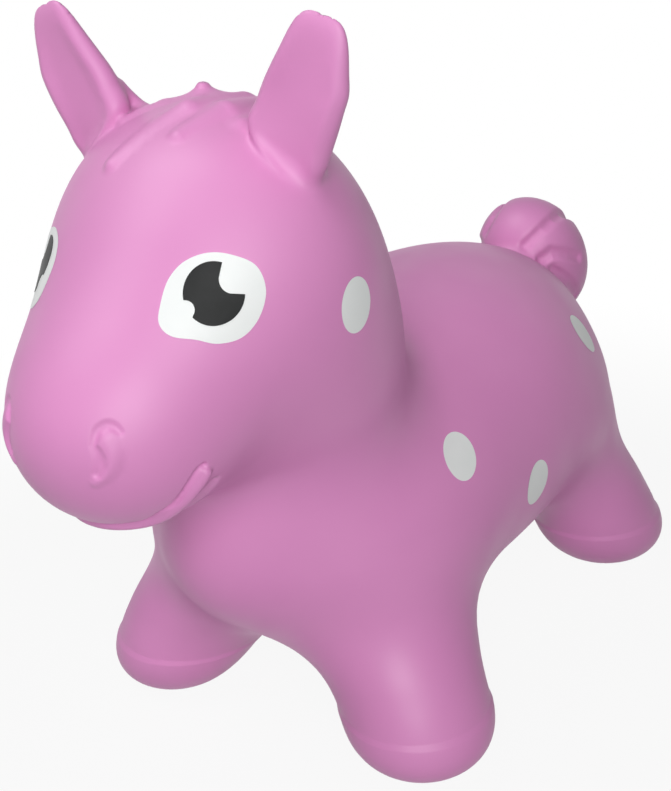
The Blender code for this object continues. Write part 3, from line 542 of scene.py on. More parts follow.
def muzzle_row(places_deg, radii, heights):
    """A smooth row of balls round the muzzle, each this high above it, or cut this deep below zero."""
    marks = np.arange(len(radii))
    at = np.linspace(0, marks[-1], marks[-1] * ROW_STEPS + 1)
    columns = (*np.transpose(places_deg), radii, np.broadcast_to(heights, len(radii)))
    turns, rises, sizes, heights = (through(marks, column, at) for column in columns)
    sinks = np.where(heights > 0, sizes, -sizes) - heights
    aims = [towards(turn, rise) for turn, rise in zip(turns, rises)]
    points = [on_surface(plain_head, MUZZLE_MIDDLE, aim, sink) for aim, sink in zip(aims, sinks)]
    return points, sizes


JAW_PLACES_DEG = [(turn + JAW_TURN_DEG, rise - JAW_BELOW_DEG) for turn, rise in LIP_PLACES_DEG]
LIP_ROW = muzzle_row(LIP_PLACES_DEG, LIP_RADII, LIP_HEIGHT)
JAW_ROW = muzzle_row(JAW_PLACES_DEG, JAW_RADII, -JAW_DEPTH)
MOUTH_ROW = muzzle_row(MOUTH_PLACES_DEG, [MOUTH_RADIUS] * len(MOUTH_PLACES_DEG), -MOUTH_DEPTH)
NOSTRIL_ROW = muzzle_row(NOSTRIL_PLACES_DEG, NOSTRIL_RADII, NOSTRIL_HEIGHTS)
ARCH_ROW = muzzle_row(ARCH_PLACES_DEG, ARCH_RADII, np.negative(ARCH_DEPTHS))
HOLLOW_ROW = muzzle_row(HOLLOW_PLACES_DEG, HOLLOW_RADII, -HOLLOW_DEPTH)


def with_mouth(p, shape):
    """A rolled lower lip under a thin mouth line, with the jaw drawn in below it."""
    q = mirrored(p)
    shape = overlap(shape, -tapered_chain(q, *JAW_ROW), JAW_BLEND)
    shape = blend(shape, tapered_chain(q, *LIP_ROW), LIP_BLEND)
    return overlap(shape, -tapered_chain(q, *MOUTH_ROW), MOUTH_BLEND)


def with_nostrils(p, shape):
    """A raised comma with a groove arched over it and a hollow beside its tail."""
    q = mirrored(p)
    shape = blend(shape, tapered_chain(q, *NOSTRIL_ROW), NOSTRIL_BLEND)
    shape = overlap(shape, -tapered_chain(q, *ARCH_ROW), GROOVE_BLEND)
    return overlap(shape, -tapered_chain(q, *HOLLOW_ROW), GROOVE_BLEND)


def head(p):
    """The plain head with its mouth and nostrils."""
    shape = only_near(p, plain_head(p), MOUTH_ROOM, with_mouth)
    return only_near(p, shape, NOSTRIL_ROOM, with_nostrils)


def ear(p):
    """A pair of flat leaves, each with a shallow dish in front, and a lip and a web at its root."""
    q = (mirrored(p) - np.array(EAR_CENTRE)) @ turn_about_y(EAR_LEAN_OUT_DEG)
    share = q[:, 2] / EAR_HALF_LENGTH
    twist = np.radians(through(EAR_STATION_SHARES, EAR_TURNS_DEG, share))
    across = q[:, 0] * np.cos(twist) + q[:, 1] * np.sin(twist)
    forward = q[:, 1] * np.cos(twist) - q[:, 0] * np.sin(twist)
    tables = (EAR_HALF_WIDTHS, EAR_MIDDLES, EAR_FRONTS, EAR_BACKS)
    width, middle, front, back = (through(EAR_STATION_SHARES, table, share) for table in tables)
    off = across - middle
    above = np.maximum(share, 0.0)
    below = np.maximum(-share - EAR_ROOT_SHARE, 0.0) * EAR_END_SLOPE
    thick = (back - front) / 2
    leaf = leaf_field(off / width, (forward - (front + back) / 2) / thick, above, below, width, thick)
    deep = EAR_DISH_DEPTH + EAR_DISH_LIFT
    inner = width - EAR_RIM
    above = above * EAR_HALF_LENGTH / (EAR_HALF_LENGTH - EAR_RIM)
    dish = leaf_field(off / inner, (forward - front + EAR_DISH_LIFT) / deep, above, below, inner, deep)
    lip = tapered_chain(mirrored(p), EAR_LIP_POINTS, EAR_LIP_RADII)
    web = tapered_chain(mirrored(p), EAR_WEB_POINTS, EAR_WEB_RADII)
    return blend(blend(overlap(leaf, -dish, EAR_DISH_BLEND), lip, EAR_LIP_BLEND), web, EAR_BLEND)


def leaf_field(across, deep, above, below, width, thick):
    """A leaf's field, from how far out a point lies each way as shares of the leaf's reach."""
    reach = np.sqrt(across**4 + deep**2 + above**4 + below**2)
    ends = (2 * above**3 + EAR_END_SLOPE * below) / EAR_HALF_LENGTH
    slope = np.sqrt((2 * across**3 / width) ** 2 + (deep / thick) ** 2 + ends**2)
    return (reach - 1) * np.minimum((reach + SLIGHT) / (slope + SLIGHT / width), width)


def crown_point(across_share, forward_share, rise):
    """A point over the crown, this much above the plain head."""
    y = FORELOCK_Y - FORELOCK_REACH * forward_share
    start = np.array((FORELOCK_HALF_WIDTH * across_share, y, SKULL_CENTRE[2]))
    return on_surface(plain_head, start, np.array((0.0, 0.0, 1.0)), -rise)


def forelock_rows():
    """Each lock's points and radii."""
    rows = []
    radii = [FORELOCK_LOCK_RADIUS * share for share in FORELOCK_TAPER_SHARES]
    for row, rise in zip(FORELOCK_LOCK_SHARES, FORELOCK_RISES):
        places = zip(row, FORELOCK_TAPER_SHARES, radii)
        points = [crown_point(*place, rise * share - radius) for place, share, radius in places]
        rows.append((points, radii))
    return rows


FORELOCK_ROWS = forelock_rows()
TUFT_ROW = [crown_point(*TUFT_PLACE_SHARES, rise) for rise in TUFT_RISES]


def with_forelock(p, shape):
    """Four swept locks over the crown, and a tuft that stands up from them."""
    locks = tapered_chain(p, *FORELOCK_ROWS[0])
    for points, radii in FORELOCK_ROWS[1:]:
        locks = blend(locks, tapered_chain(p, points, radii), FORELOCK_BLEND)
    shape = blend(shape, locks, FORELOCK_BLEND)
    return blend(shape, tapered_chain(p, TUFT_ROW, TUFT_RADII), TUFT_BLEND)


def tail_creases():
    """Points along each crease between the tail's locks, just off the bob."""
    turned = turn_about_x(TAIL_TILT_DEG)
    rows = []
    for places, lift in zip(TAIL_CREASES, TAIL_CREASE_LIFTS):
        across = np.array([share for share, _ in places])
        angle = np.radians([angle_deg for _, angle_deg in places])
        round_x = np.sqrt(1 - across**2)
        unit = np.stack([across, round_x * np.cos(angle), round_x * np.sin(angle)], axis=-1)
        rows.append((unit * (np.array(TAIL_RADII) + lift)) @ turned.T + np.array(TAIL_CENTRE))
    return rows


TAIL_ROWS = tail_creases()


def tail(p):
    """A plump bob with a crease between each lock and the next."""
    shape = egg(p, TAIL_CENTRE, TAIL_RADII, turn_about_x(TAIL_TILT_DEG))
    for row in TAIL_ROWS:
        crease = tapered_chain(p, row, [TAIL_CREASE_RADIUS] * len(row))
        shape = overlap(shape, -crease, TAIL_CREASE_BLEND)
    return shape


def with_valve(p, shape):
    """A flat boss in the belly, bored for the valve, with a pocket of air above it."""
    from_axis = np.hypot(p[:, 0], p[:, 1] - VALVE_Y)
    up = p[:, 2] - VALVE_FACE_Z
    boss = overlap(from_axis - BOSS_RADIUS, -up, BOSS_EDGE)
    shape = blend(shape, np.maximum(boss, up - BOSS_RADIUS), BOSS_BLEND)
    bore = np.maximum(from_axis - VALVE_BORE_RADIUS, up - BOSS_RADIUS)
    pocket = np.hypot(from_axis, up - VALVE_POCKET_RADIUS - BOSS_THICKNESS) - VALVE_POCKET_RADIUS
    return np.maximum(shape, -np.minimum(bore, pocket))


def skin(p):
    """The moulding's outside."""
    shape = only_near(p, body(p), VALVE_ROOM, with_valve)
    shape = only_near(p, shape, HEAD_ROOM, with_form(head, NECK_BODY_BLEND))
    shape = only_near(p, shape, EAR_ROOM, with_form(ear, EAR_BLEND))
    shape = only_near(p, shape, FORELOCK_ROOM, with_forelock)
    return only_near(p, shape, TAIL_ROOM, with_form(tail, TAIL_BLEND))


# The skin's mesh

def slope_of(field, points, step):
    """The field's slope at each point, from its change over a step either way."""
    changes = [field(points + side) - field(points - side) for side in np.eye(3) * step]
    return np.stack(changes, axis=-1) / (2 * step)


def settled(field, points, step, most):
    """Points moved onto the field's zero surface along its slope."""
    slope = slope_of(field, points, step)
    move = field(points)[:, None] * slope / (slope**2).sum(-1, keepdims=True)
    return points - np.clip(move, -most, most)


def grid_values(field, low, counts, cell):
    """The field on a grid, worked out in full only close to its surface."""
    step = int(round(WARM_UP_CELL / cell))
    marks = [low[axis] + cell * np.arange(counts[axis]) for axis in range(3)]
    coarse = np.stack(np.meshgrid(*[m[::step] for m in marks], indexing="ij"), axis=-1)
    values = field(coarse.reshape(-1, 3)).reshape(coarse.shape[:3])
    for axis in range(3):
        values = np.repeat(values, step, axis=axis)
    values = values[: counts[0], : counts[1], : counts[2]].copy()
    spread = step
    while spread > 1:
        reach = cell * spread * NEAR_CELLS
        spread = max(spread // 2, 1)
        sub = tuple(slice(None, None, spread) for _ in range(3))
        near = np.argwhere(np.abs(values[sub]) < reach) * spread
        fresh = field(near * cell + low)
        if spread == 1:
            values[tuple(near.T)] = fresh
        else:
            block = values[sub].copy()
            block[tuple((near // spread).T)] = fresh
            for axis in range(3):
                block = np.repeat(block, spread, axis=axis)
            values = block[: counts[0], : counts[1], : counts[2]].copy()
    return values


def surface_net(field, low, high, cell):
    """Quads over the field's zero surface, with one point in each cell that the surface crosses."""
    counts = np.ceil((high - low) / cell).astype(int) + 1
    values = grid_values(field, low, counts, cell)
    inside = values < 0
    total = np.zeros((*counts, 3))
    hits = np.zeros(counts)
    quads = []
    for axis in range(3):
        first, second = (axis + 1) % 3, (axis + 2) % 3
        along = np.eye(3, dtype=int)[axis]
        lower = tuple(slice(0, -1) if a == axis else slice(None) for a in range(3))
        upper = tuple(slice(1, None) if a == axis else slice(None) for a in range(3))
        spot = np.argwhere(inside[lower] != inside[upper])
        start = values[tuple(spot.T)]
        end = values[tuple((spot + along).T)]
        crossing = spot + along * (start / (start - end))[:, None]
        corners = []
        for back_first, back_second in ((1, 1), (0, 1), (0, 0), (1, 0)):
            cells = spot.copy()
            cells[:, first] -= back_first
            cells[:, second] -= back_second
            np.add.at(total, tuple(cells.T), crossing)
            np.add.at(hits, tuple(cells.T), 1)
            corners.append(np.ravel_multi_index(tuple(cells.T), counts))
        ring = np.stack(corners, axis=-1)
        quads.append(np.where((start < 0)[:, None], ring, ring[:, ::-1]))
    used = hits.ravel() > 0
    number = np.cumsum(used) - 1
    points = total.reshape(-1, 3)[used] / hits.ravel()[used, None] * cell + low
    quads = number[np.concatenate(quads)]
    for _ in range(SETTLE_ROUNDS):
        points = settled(field, points, cell / SLOPE_STEPS_A_CELL, cell / 2)
    return points, quads


def halves(points, quads):
    """Two triangles for each quad, parted along its shorter diagonal."""
    a, b, c, d = points[quads].transpose(1, 0, 2)
    straight = (lengths(a - c) <= lengths(b - d))[:, None, None]
    one = np.where(straight, quads[:, [[0, 1, 2], [0, 2, 3]]], quads[:, [[0, 1, 3], [1, 2, 3]]])
    return one.reshape(-1, 3)


def refined(field, points, triangles, cell):
    """Triangles split where the surface bends, with the new points settled on it."""
    step = cell / SLOPE_STEPS_A_CELL
    slope = slope_of(field, points, step)
    normals = slope / lengths(slope)[:, None]
    corners = normals[triangles]
    turn = (corners * np.roll(corners, 1, axis=1)).sum(-1).min(-1)
    chosen = turn < math.cos(math.radians(BEND_DEG))
    room = max((TRIANGLE_LIMIT - len(triangles)) // 4, 0)
    if chosen.sum() > room:
        chosen &= turn <= np.partition(turn, room)[room]
    sides = np.sort(triangles[:, [[0, 1], [1, 2], [2, 0]]], axis=-1)
    keys = sides[..., 0] * len(points) + sides[..., 1]
    marked = np.unique(keys[chosen])
    place = np.minimum(np.searchsorted(marked, keys), len(marked) - 1)
    is_marked = marked[place] == keys
    fresh = (points[marked // len(points)] + points[marked % len(points)]) / 2
    fresh = settled(field, fresh, step, cell / 3)
    middle = np.where(is_marked, place + len(points), -1)
    made = [triangles[~is_marked.any(1)]]
    for count in (1, 2, 3):
        rows = is_marked.sum(1) == count
        corner, half = triangles[rows], middle[rows]
        if count == 3:
            a, b, c = corner.T
            ab, bc, ca = half.T
            made += [np.stack(t, -1) for t in ((a, ab, ca), (ab, b, bc), (ca, bc, c), (ab, bc, ca))]
            continue
        lead = (half >= 0) if count == 1 else (half < 0)
        shift = np.argmax(lead, axis=1)
        order = (shift[:, None] + np.arange(3)) % 3
        corner = np.take_along_axis(corner, order, 1)
        half = np.take_along_axis(half, order, 1)
        a, b, c = corner.T
        if count == 1:
            made += [np.stack(t, -1) for t in ((a, half[:, 0], c), (half[:, 0], b, c))]
        else:
            bc, ca = half[:, 1], half[:, 2]
            made += [np.stack(t, -1) for t in ((a, b, bc), (a, bc, ca), (ca, bc, c))]
    return np.concatenate([points, fresh]), np.concatenate(made)


def mould_surface(field):
    """Points and triangles over a field, on a grid that has no points in the mirror plane."""
    cell = SKIN_CELL
    low, high = (np.array(corner) for corner in SKIN_ROOM)
    high[0] = (math.ceil(high[0] / cell) + 0.5) * cell
    low[0] = -high[0]
    points, quads = surface_net(field, low, high, cell)
    triangles = halves(points, quads)
    for _ in range(REFINE_ROUNDS):
        cell = cell / 2
        points, triangles = refined(field, points, triangles, cell)
    return points, triangles


# Pieces

def link(name, mesh, *finishes):
    """A new object in the scene, at the origin."""
    made = bpy.data.objects.new(name, mesh)
    bpy.context.scene.collection.objects.link(made)
    for finish in finishes:
        mesh.materials.append(finish)
    return made


def shade_by_field(mesh, field):
    """Shading normals taken from the field's slope at each point."""
    points = np.zeros(len(mesh.vertices) * 3)
    mesh.vertices.foreach_get("co", points)
    slope = slope_of(field, points.reshape(-1, 3) - (0.0, MOULD_Y, 0.0), NORMAL_STEP)
    mesh.normals_split_custom_set_from_vertices((slope / lengths(slope)[:, None]).tolist())


def moulded_skin(finish):
    points, triangles = mould_surface(skin)
    low, high = (np.array(corner) for corner in CAD_BOX)
    points = np.clip(points + (0.0, MOULD_Y, 0.0), low, high)
    mesh = bpy.data.meshes.new("moulded_skin")
    mesh.from_pydata(points.tolist(), [], triangles.tolist())
    mesh.shade_smooth()
    made = link("moulded_skin", mesh, finish)
    shade_by_field(mesh, skin)
    return made


def new_group(name, kind, inputs, outputs):
    """A node group with named inputs, some with a value of their own, and named outputs."""
    group = bpy.data.node_groups.new(name, kind)
    for label, socket_kind, *value in inputs:
        socket = group.interface.new_socket(label, in_out="INPUT", socket_type="NodeSocket" + socket_kind)
        if value:
            socket.default_value = value[0]
    for label, socket_kind in outputs:
        group.interface.new_socket(label, in_out="OUTPUT", socket_type="NodeSocket" + socket_kind)
    return group, group.nodes.new("NodeGroupInput").outputs, group.nodes.new("NodeGroupOutput").inputs


def feed(tree, socket, source):
    """An input set to a value, or linked to another node's output."""
    if isinstance(source, bpy.types.NodeSocket):
        tree.links.new(source, socket)
    else:
        socket.default_value = source


def node(tree, kind, inputs=None, **settings):
    """A new node with its settings made and its inputs fed."""
    made = tree.nodes.new(kind)
    for key, value in settings.items():
        setattr(made, key, value)
    for key, source in (inputs or {}).items():
        feed(tree, made.inputs[key], source)
    return made


def maths(tree, operation, *sources, **settings):
    """A sum's result, from values and other nodes' outputs."""
    sources = dict(enumerate(sources))
    return node(tree, "ShaderNodeMath", sources, operation=operation, **settings).outputs[0]


def oval_tree():
    """An oval of quads in its own plane: a square grid with each x drawn in by (1 - y * y / 2) ** 0.5."""
    tree, given, result = new_group("oval_outline", "GeometryNodeTree", [
        ("Geometry", "Geometry"), ("Half Width", "Float"), ("Half Height", "Float"), ("Lean", "Float"),
        ("Facing", "Rotation"), ("Place", "Vector"), ("Cells", "Int"),
    ], [("Geometry", "Geometry")])
    sheet = node(tree, "GeometryNodeMeshGrid", {
        "Size X": 2.0, "Size Y": 2.0, "Vertices X": given["Cells"], "Vertices Y": given["Cells"],
    })
    where = node(tree, "GeometryNodeInputPosition").outputs[0]
    split = node(tree, "ShaderNodeSeparateXYZ", {0: where}).outputs
    drawn = {}
    for mine, other, size in (("X", "Y", "Half Width"), ("Y", "X", "Half Height")):
        square = maths(tree, "MULTIPLY", split[other], split[other])
        shrink = maths(tree, "SQRT", maths(tree, "MULTIPLY_ADD", square, -0.5, 1.0))
        drawn[mine] = maths(tree, "MULTIPLY", maths(tree, "MULTIPLY", split[mine], shrink), given[size])
    flat = node(tree, "ShaderNodeCombineXYZ", drawn).outputs[0]
    lean = node(tree, "ShaderNodeVectorRotate", {
        "Vector": flat, "Angle": given["Lean"],
    }, rotation_type="Z_AXIS")
    faced = node(tree, "FunctionNodeRotateVector", {
        "Vector": lean.outputs[0], "Rotation": given["Facing"],
    })
    moved = node(tree, "ShaderNodeVectorMath", {0: faced.outputs[0], 1: given["Place"]}, operation="ADD")
    shape = node(tree, "GeometryNodeSetPosition", {
        "Geometry": sheet.outputs["Mesh"], "Position": moved.outputs[0],
    })
    feed(tree, result[0], shape.outputs[0])
    return tree


def paint_tree():
    """A flat outline thrown onto the skin, lifted off it a little and given the paint's thickness."""
    tree, given, result = new_group("paint_film", "GeometryNodeTree", [
        ("Geometry", "Geometry"), ("Skin", "Object"), ("Inward", "Vector"), ("Lift", "Float"),
        ("Thickness", "Float"), ("Paint", "Material"),
    ], [("Geometry", "Geometry")])
    target = node(tree, "GeometryNodeObjectInfo", {"Object": given["Skin"]})
    hit = node(tree, "GeometryNodeRaycast", {
        "Target Geometry": target.outputs["Geometry"], "Ray Direction": given["Inward"],
        "Ray Length": FILM_THROW,
    }).outputs
    raised = node(tree, "ShaderNodeVectorMath", {
        0: hit["Hit Normal"], "Scale": given["Lift"],
    }, operation="SCALE")
    landed = node(tree, "ShaderNodeVectorMath", {
        0: hit["Hit Position"], 1: raised.outputs[0],
    }, operation="ADD")
    laid = node(tree, "GeometryNodeSetPosition", {
        "Geometry": given["Geometry"], "Position": landed.outputs[0],
    }).outputs[0]
    top = node(tree, "GeometryNodeExtrudeMesh", {
        "Mesh": laid, "Offset Scale": given["Thickness"], "Individual": False,
    }, mode="FACES")
    under = node(tree, "GeometryNodeFlipFaces", {0: laid})
    both = node(tree, "GeometryNodeJoinGeometry", {0: top.outputs["Mesh"]})
    feed(tree, both.inputs[0], under.outputs[0])
    closed = node(tree, "GeometryNodeMergeByDistance", {
        "Geometry": both.outputs[0], "Distance": PAINT_MERGE,
    })
    real = node(tree, "GeometryNodeRealizeInstances", {0: closed.outputs[0]})
    painted = node(tree, "GeometryNodeSetMaterial", {
        "Geometry": real.outputs[0], "Material": given["Paint"],
    })
    feed(tree, result[0], painted.outputs[0])
    return tree


def add_tree(obj, tree, values):
    """The tree as a modifier, with its inputs set by their identifiers."""
    change = obj.modifiers.new(tree.name, "NODES")
    change.node_group = tree
    for socket in tree.interface.items_tree:
        if socket.in_out == "INPUT" and socket.name in values:
            change[socket.identifier] = values[socket.name]


def made_plain(obj):
    """The object's evaluated shape as its own mesh, with its modifiers gone."""
    bpy.context.view_layer.update()
    graph = bpy.context.evaluated_depsgraph_get()
    mesh = bpy.data.meshes.new_from_object(obj.evaluated_get(graph), depsgraph=graph)
    obj.modifiers.clear()
    obj.data = mesh
    mesh.name = obj.name


def smooth_loop(shares, size):
    """A smooth closed outline through given points."""
    points = np.array(shares) * size
    outline = []
    for step in range(OUTLINE_POINTS):
        at = step * len(points) / OUTLINE_POINTS
        i, t = int(at), at % 1
        before, start, end, after = (points[(i + k) % len(points)] for k in (-1, 0, 1, 2))
        bend = (end - before) * (1 - t) / 2 - (after - start) * t / 2
        outline.append(start + (end - start) * t * t * (3 - 2 * t) + bend * t * (1 - t))
    return outline


def pupil_outline():
    """A round pupil with two round glints bitten from its edge."""
    glints = ((BIG_GLINT_OFFSET, BIG_GLINT_RADIUS), (SMALL_GLINT_OFFSET, SMALL_GLINT_RADIUS))
    outline = []
    for step in range(OUTLINE_POINTS * 2):
        angle = math.tau * step / (OUTLINE_POINTS * 2)
        ray = np.array((math.cos(angle), math.sin(angle)))
        reach = PUPIL_RADIUS
        for offset, radius in glints:
            along = ray @ np.array(offset)
            off_line = np.array(offset) @ np.array(offset) - along**2
            if along > 0 and off_line < radius**2:
                reach = min(reach, along - math.sqrt(radius**2 - off_line))
        outline.append(ray * reach + np.array(PUPIL_OFFSET))
    return outline


def paint_place(start, aim_deg, side):
    """Where a paint film's flat outline stands off the skin, which way it faces, and its turn."""
    outward = Vector(towards(aim_deg[0] * side, aim_deg[1]))
    place = Vector((0.0, start[0] + MOULD_Y, start[1])) + outward * FILM_STAND_OFF
    return place, outward, outward.to_track_quat("Z", "Y")


def flat_film(name, outline, place, turn, side):
    """Rings of quads inside an outline, in a plane off the skin."""
    made = bmesh.new()
    middle = sum(outline) / len(outline)
    rings = []
    for ring in range(FILM_RINGS):
        share = 1 - ring / FILM_RINGS
        spots = [middle + (point - middle) * share for point in outline]
        rings.append([made.verts.new(place + turn @ Vector((side * x, y, 0.0))) for x, y in spots])
    centre = made.verts.new(place + turn @ Vector((side * middle[0], middle[1], 0.0)))
    for i in range(len(outline)):
        j = (i + 1) % len(outline)
        for outer, inner in zip(rings, rings[1:]):
            made.faces.new((outer[i], outer[j], inner[j], inner[i]))
        made.faces.new((rings[-1][i], rings[-1][j], centre))
    if side < 0:
        bmesh.ops.reverse_faces(made, faces=made.faces)
    mesh = bpy.data.meshes.new(name)
    made.to_mesh(mesh)
    made.free()
    return mesh


def paint_film(cad_node, mesh, skin_obj, outward, lift, paint, tree, before=None):
    """One layer of paint laid on the skin in a CAD film's place."""
    film = link("painted_" + cad_node, mesh)
    if before:
        add_tree(film, *before)
    add_tree(film, tree, {
        "Skin": skin_obj, "Inward": -outward, "Lift": lift, "Thickness": PAINT_THICKNESS, "Paint": paint,
    })
    made_plain(film)
    film.data.shade_smooth()
    shade_by_field(film.data, skin)
    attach(film, "pony")
    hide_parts(cad_node)


def paint_all(skin_obj, white, black):
    """Both eyes and every spot."""
    oval, film = oval_tree(), paint_tree()
    eye_white = smooth_loop(EYE_OUTLINE_SHARES, (EYE_HALF_WIDTH, EYE_HALF_HEIGHT))
    pupil = pupil_outline()
    for side, end in ((1, "left"), (-1, "right")):
        place, outward, turn = paint_place(SKULL_CENTRE[1:], EYE_AIM_DEG, side)
        for label, outline, lift, paint in (
            ("eye_white_", eye_white, PAINT_LIFT, white), ("eye_pupil_", pupil, PUPIL_LIFT, black),
        ):
            mesh = flat_film(label + end, outline, place, turn, side)
            paint_film(label + end, mesh, skin_obj, outward, lift, paint, film)
        for label, (start, aim_deg, lean_deg) in SPOTS.items():
            name = f"{label}_{end}"
            place, outward, turn = paint_place(start, aim_deg, side)
            shape = (oval, {
                "Half Width": SPOT_HALF_WIDTH, "Half Height": SPOT_HALF_HEIGHT,
                "Lean": math.radians(lean_deg) * side, "Facing": turn.to_euler(), "Place": place,
                "Cells": SPOT_CELLS,
            })
            mesh = bpy.data.meshes.new(name)
            paint_film(name, mesh, skin_obj, outward, PAINT_LIFT, white, film, shape)


def valve_pieces(seat_finish, plug_finish):
    """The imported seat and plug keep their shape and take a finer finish."""
    for name, finish in (("valve_seat", seat_finish), ("valve_plug", plug_finish)):
        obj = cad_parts[name]
        obj.data.materials.clear()
        obj.data.materials.append(finish)


# Finishes

def mottle_group():
    """A colour that drifts a little in hue and depth over the surface, as moulded vinyl does."""
    group, given, result = new_group("vinyl_mottle", "ShaderNodeTree", [
        ("Colour", "Color"), ("Second Colour", "Color"), ("Patch Size", "Float", PATCH_SIZE),
        ("Depth", "Float", MOTTLE_SHARE),
    ], [("Colour", "Color")])
    cloud = node(group, "ShaderNodeTexNoise", {
        "Vector": node(group, "ShaderNodeTexCoord").outputs["Object"],
        "Scale": maths(group, "DIVIDE", 1.0, given["Patch Size"]),
        "Detail": MOTTLE_DETAIL, "Roughness": MOTTLE_ROUGHNESS,
    })
    spread = node(group, "ShaderNodeMapRange", {
        "Value": cloud.outputs["Fac"], "From Min": MOTTLE_RANGE[0], "From Max": MOTTLE_RANGE[1],
    })
    share = maths(group, "MULTIPLY", spread.outputs[0], given["Depth"])
    mix = node(group, "ShaderNodeMix", data_type="RGBA")
    for socket, source in ((0, share), (6, given["Colour"]), (7, given["Second Colour"])):
        feed(group, mix.inputs[socket], source)
    feed(group, result["Colour"], mix.outputs[2])
    return group


def grain_group():
    """The fine pebble of a vinyl moulding, and its slow waviness, as a height."""
    group, given, result = new_group("vinyl_grain", "ShaderNodeTree", [
        ("Grain Size", "Float", GRAIN_SIZE), ("Wave Size", "Float", WAVE_SIZE),
        ("Wave Share", "Float", WAVE_SHARE),
    ], [("Height", "Float"), ("Roughness Shift", "Float")])
    where = node(group, "ShaderNodeTexCoord").outputs["Object"]
    grain, wave = (
        node(group, "ShaderNodeTexNoise", {
            "Vector": where, "Scale": maths(group, "DIVIDE", 1.0, given[label]), "Detail": detail,
        }).outputs["Fac"]
        for label, detail in (("Grain Size", GRAIN_DETAIL), ("Wave Size", WAVE_DETAIL))
    )
    height = maths(group, "ADD", grain, maths(group, "MULTIPLY", wave, given["Wave Share"]))
    feed(group, result["Height"], height)
    shift = node(group, "ShaderNodeMapRange", {
        "Value": wave, "From Min": GLOSS_RANGE[0], "From Max": GLOSS_RANGE[1],
        "To Min": -GLOSS_SHIFT, "To Max": GLOSS_SHIFT,
    })
    feed(group, result["Roughness Shift"], shift.outputs[0])
    return group


def finish_of(name, groups, colour, second, roughness, patch=PATCH_SIZE, grain=GRAIN_SIZE,
              bump=GRAIN_BUMP, specular=SPECULAR):
    """A Principled finish with mottled colour, grain and a little change of gloss."""
    mottle, pebble = groups
    made = bpy.data.materials.new(name)
    made.use_nodes = True
    tree = made.node_tree
    tint = node(tree, "ShaderNodeGroup", node_tree=mottle)
    values = {"Colour": (*colour, 1.0), "Second Colour": (*second, 1.0), "Patch Size": patch}
    for label, value in values.items():
        feed(tree, tint.inputs[label], value)
    texture = node(tree, "ShaderNodeGroup", node_tree=pebble)
    feed(tree, texture.inputs["Grain Size"], grain)
    relief = node(tree, "ShaderNodeBump", {
        "Strength": bump, "Distance": grain * GRAIN_DEPTH_SHARE, "Height": texture.outputs["Height"],
    })
    shader = tree.nodes["Principled BSDF"]
    for label, source in (
        ("Metallic", 0.0), ("Specular IOR Level", specular), ("Base Color", tint.outputs["Colour"]),
        ("Roughness", maths(tree, "ADD", texture.outputs["Roughness Shift"], roughness)),
        ("Normal", relief.outputs[0]),
    ):
        feed(tree, shader.inputs[label], source)
    return made


# Stage, light and camera

def plain_rays(tree):
    """One where a ray comes straight from the camera, or off gloss or through glass."""
    path = node(tree, "ShaderNodeLightPath").outputs
    first = maths(tree, "ADD", path["Is Camera Ray"], path["Is Glossy Ray"])
    return maths(tree, "ADD", first, path["Is Transmission Ray"], use_clamp=True)


def mixed(tree, kind, share, first, second):
    """The surface or world output fed with two shaders mixed by a share."""
    mix = node(tree, "ShaderNodeMixShader", {0: share, 1: first.outputs[0], 2: second.outputs[0]})
    node(tree, kind, {0: mix.outputs[0]})


def make_world():
    """A dim white room for the lighting, and plain white for what the camera sees."""
    world = bpy.data.worlds.new("studio")
    world.use_nodes = True
    bpy.context.scene.world = world
    tree = world.node_tree
    tree.nodes.clear()
    room = node(tree, "ShaderNodeBackground", {"Color": PAPER_WHITE, "Strength": ROOM_LIGHT})
    paper = node(tree, "ShaderNodeBackground", {"Color": PAPER_WHITE, "Strength": 1.0})
    mixed(tree, "ShaderNodeOutputWorld", plain_rays(tree), room, paper)


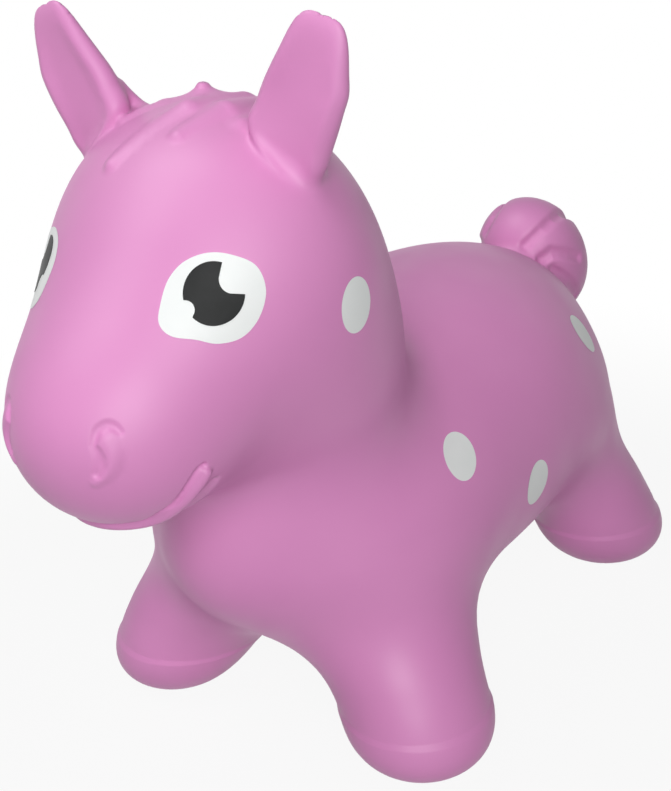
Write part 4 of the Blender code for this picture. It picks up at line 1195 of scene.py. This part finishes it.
def make_floor():
    """A pale floor that fades to white away from the pony and keeps its shadow."""
    half = FLOOR_HALF_SIZE
    mesh = bpy.data.meshes.new("pale_floor")
    corners = ((-half, -half), (half, -half), (half, half), (-half, half))
    mesh.from_pydata([(*corner, FLOOR_DROP) for corner in corners], [], [(0, 1, 2, 3)])
    paper = bpy.data.materials.new("pale_floor")
    paper.use_nodes = True
    tree = paper.node_tree
    tree.nodes.clear()
    matt = node(tree, "ShaderNodeBsdfDiffuse", {"Color": FLOOR_COLOUR})
    glow = node(tree, "ShaderNodeEmission", {"Color": PAPER_WHITE})
    where = node(tree, "ShaderNodeTexCoord").outputs["Object"]
    away = node(tree, "ShaderNodeVectorMath", {0: where}, operation="LENGTH")
    fade = node(tree, "ShaderNodeMapRange", {
        "Value": away.outputs["Value"], "From Min": FLOOR_FADE[0], "From Max": FLOOR_FADE[1],
        "To Min": FLOOR_WHITE_SHARE, "To Max": 1.0,
    }, interpolation_type="SMOOTHSTEP")
    share = maths(tree, "MULTIPLY", fade.outputs[0], plain_rays(tree))
    mixed(tree, "ShaderNodeOutputMaterial", share, matt, glow)
    link("pale_floor", mesh, paper)


def make_lamp(name, place, aim, size, power, colour):
    """A round soft lamp turned to its aim."""
    lamp = bpy.data.lights.new(name, "AREA")
    lamp.shape = "DISK"
    lamp.size = size
    lamp.energy = power
    lamp.color = colour
    obj = bpy.data.objects.new(name, lamp)
    bpy.context.scene.collection.objects.link(obj)
    obj.location = place
    obj.rotation_euler = (Vector(aim) - Vector(place)).to_track_quat("-Z", "Y").to_euler()


def make_camera():
    """The photograph's view."""
    turn, rise, roll = CAMERA_TURN, CAMERA_RISE, CAMERA_ROLL
    back = Vector((math.sin(turn) * math.cos(rise), -math.cos(turn) * math.cos(rise), math.sin(rise)))
    right = Vector((math.cos(turn), math.sin(turn), 0.0))
    up = back.cross(right)
    c, s = math.cos(roll), math.sin(roll)
    right, up = right * c + up * s, up * c - right * s
    camera = bpy.data.cameras.new("photo_view")
    camera.lens = CAMERA_FOCUS_PX / max(IMAGE_SIZE) * SENSOR_MM
    camera.sensor_width = SENSOR_MM
    camera.clip_start, camera.clip_end = CAMERA_CLIP
    obj = bpy.data.objects.new("photo_view", camera)
    bpy.context.scene.collection.objects.link(obj)
    place = Vector(CAMERA_TARGET) + Vector((0.0, MOULD_Y, 0.0)) + back * CAMERA_DISTANCE
    turned = Matrix((right, up, back)).transposed().to_4x4()
    obj.matrix_world = Matrix.Translation(place) @ turned
    bpy.context.scene.camera = obj


def main():
    bpy.context.scene.view_settings.view_transform = "Standard"
    groups = (mottle_group(), grain_group())
    vinyl, seat, plug, white, black = (
        finish_of(name, groups, colour, second, **changes)
        for name, (colour, second, changes) in FINISHES.items()
    )
    skin_obj = moulded_skin(vinyl)
    paint_all(skin_obj, white, black)
    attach(skin_obj, "pony")
    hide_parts("vinyl_skin")
    valve_pieces(seat, plug)
    make_world()
    make_floor()
    for lamp in LAMPS:
        make_lamp(*lamp)
    make_camera()


main()
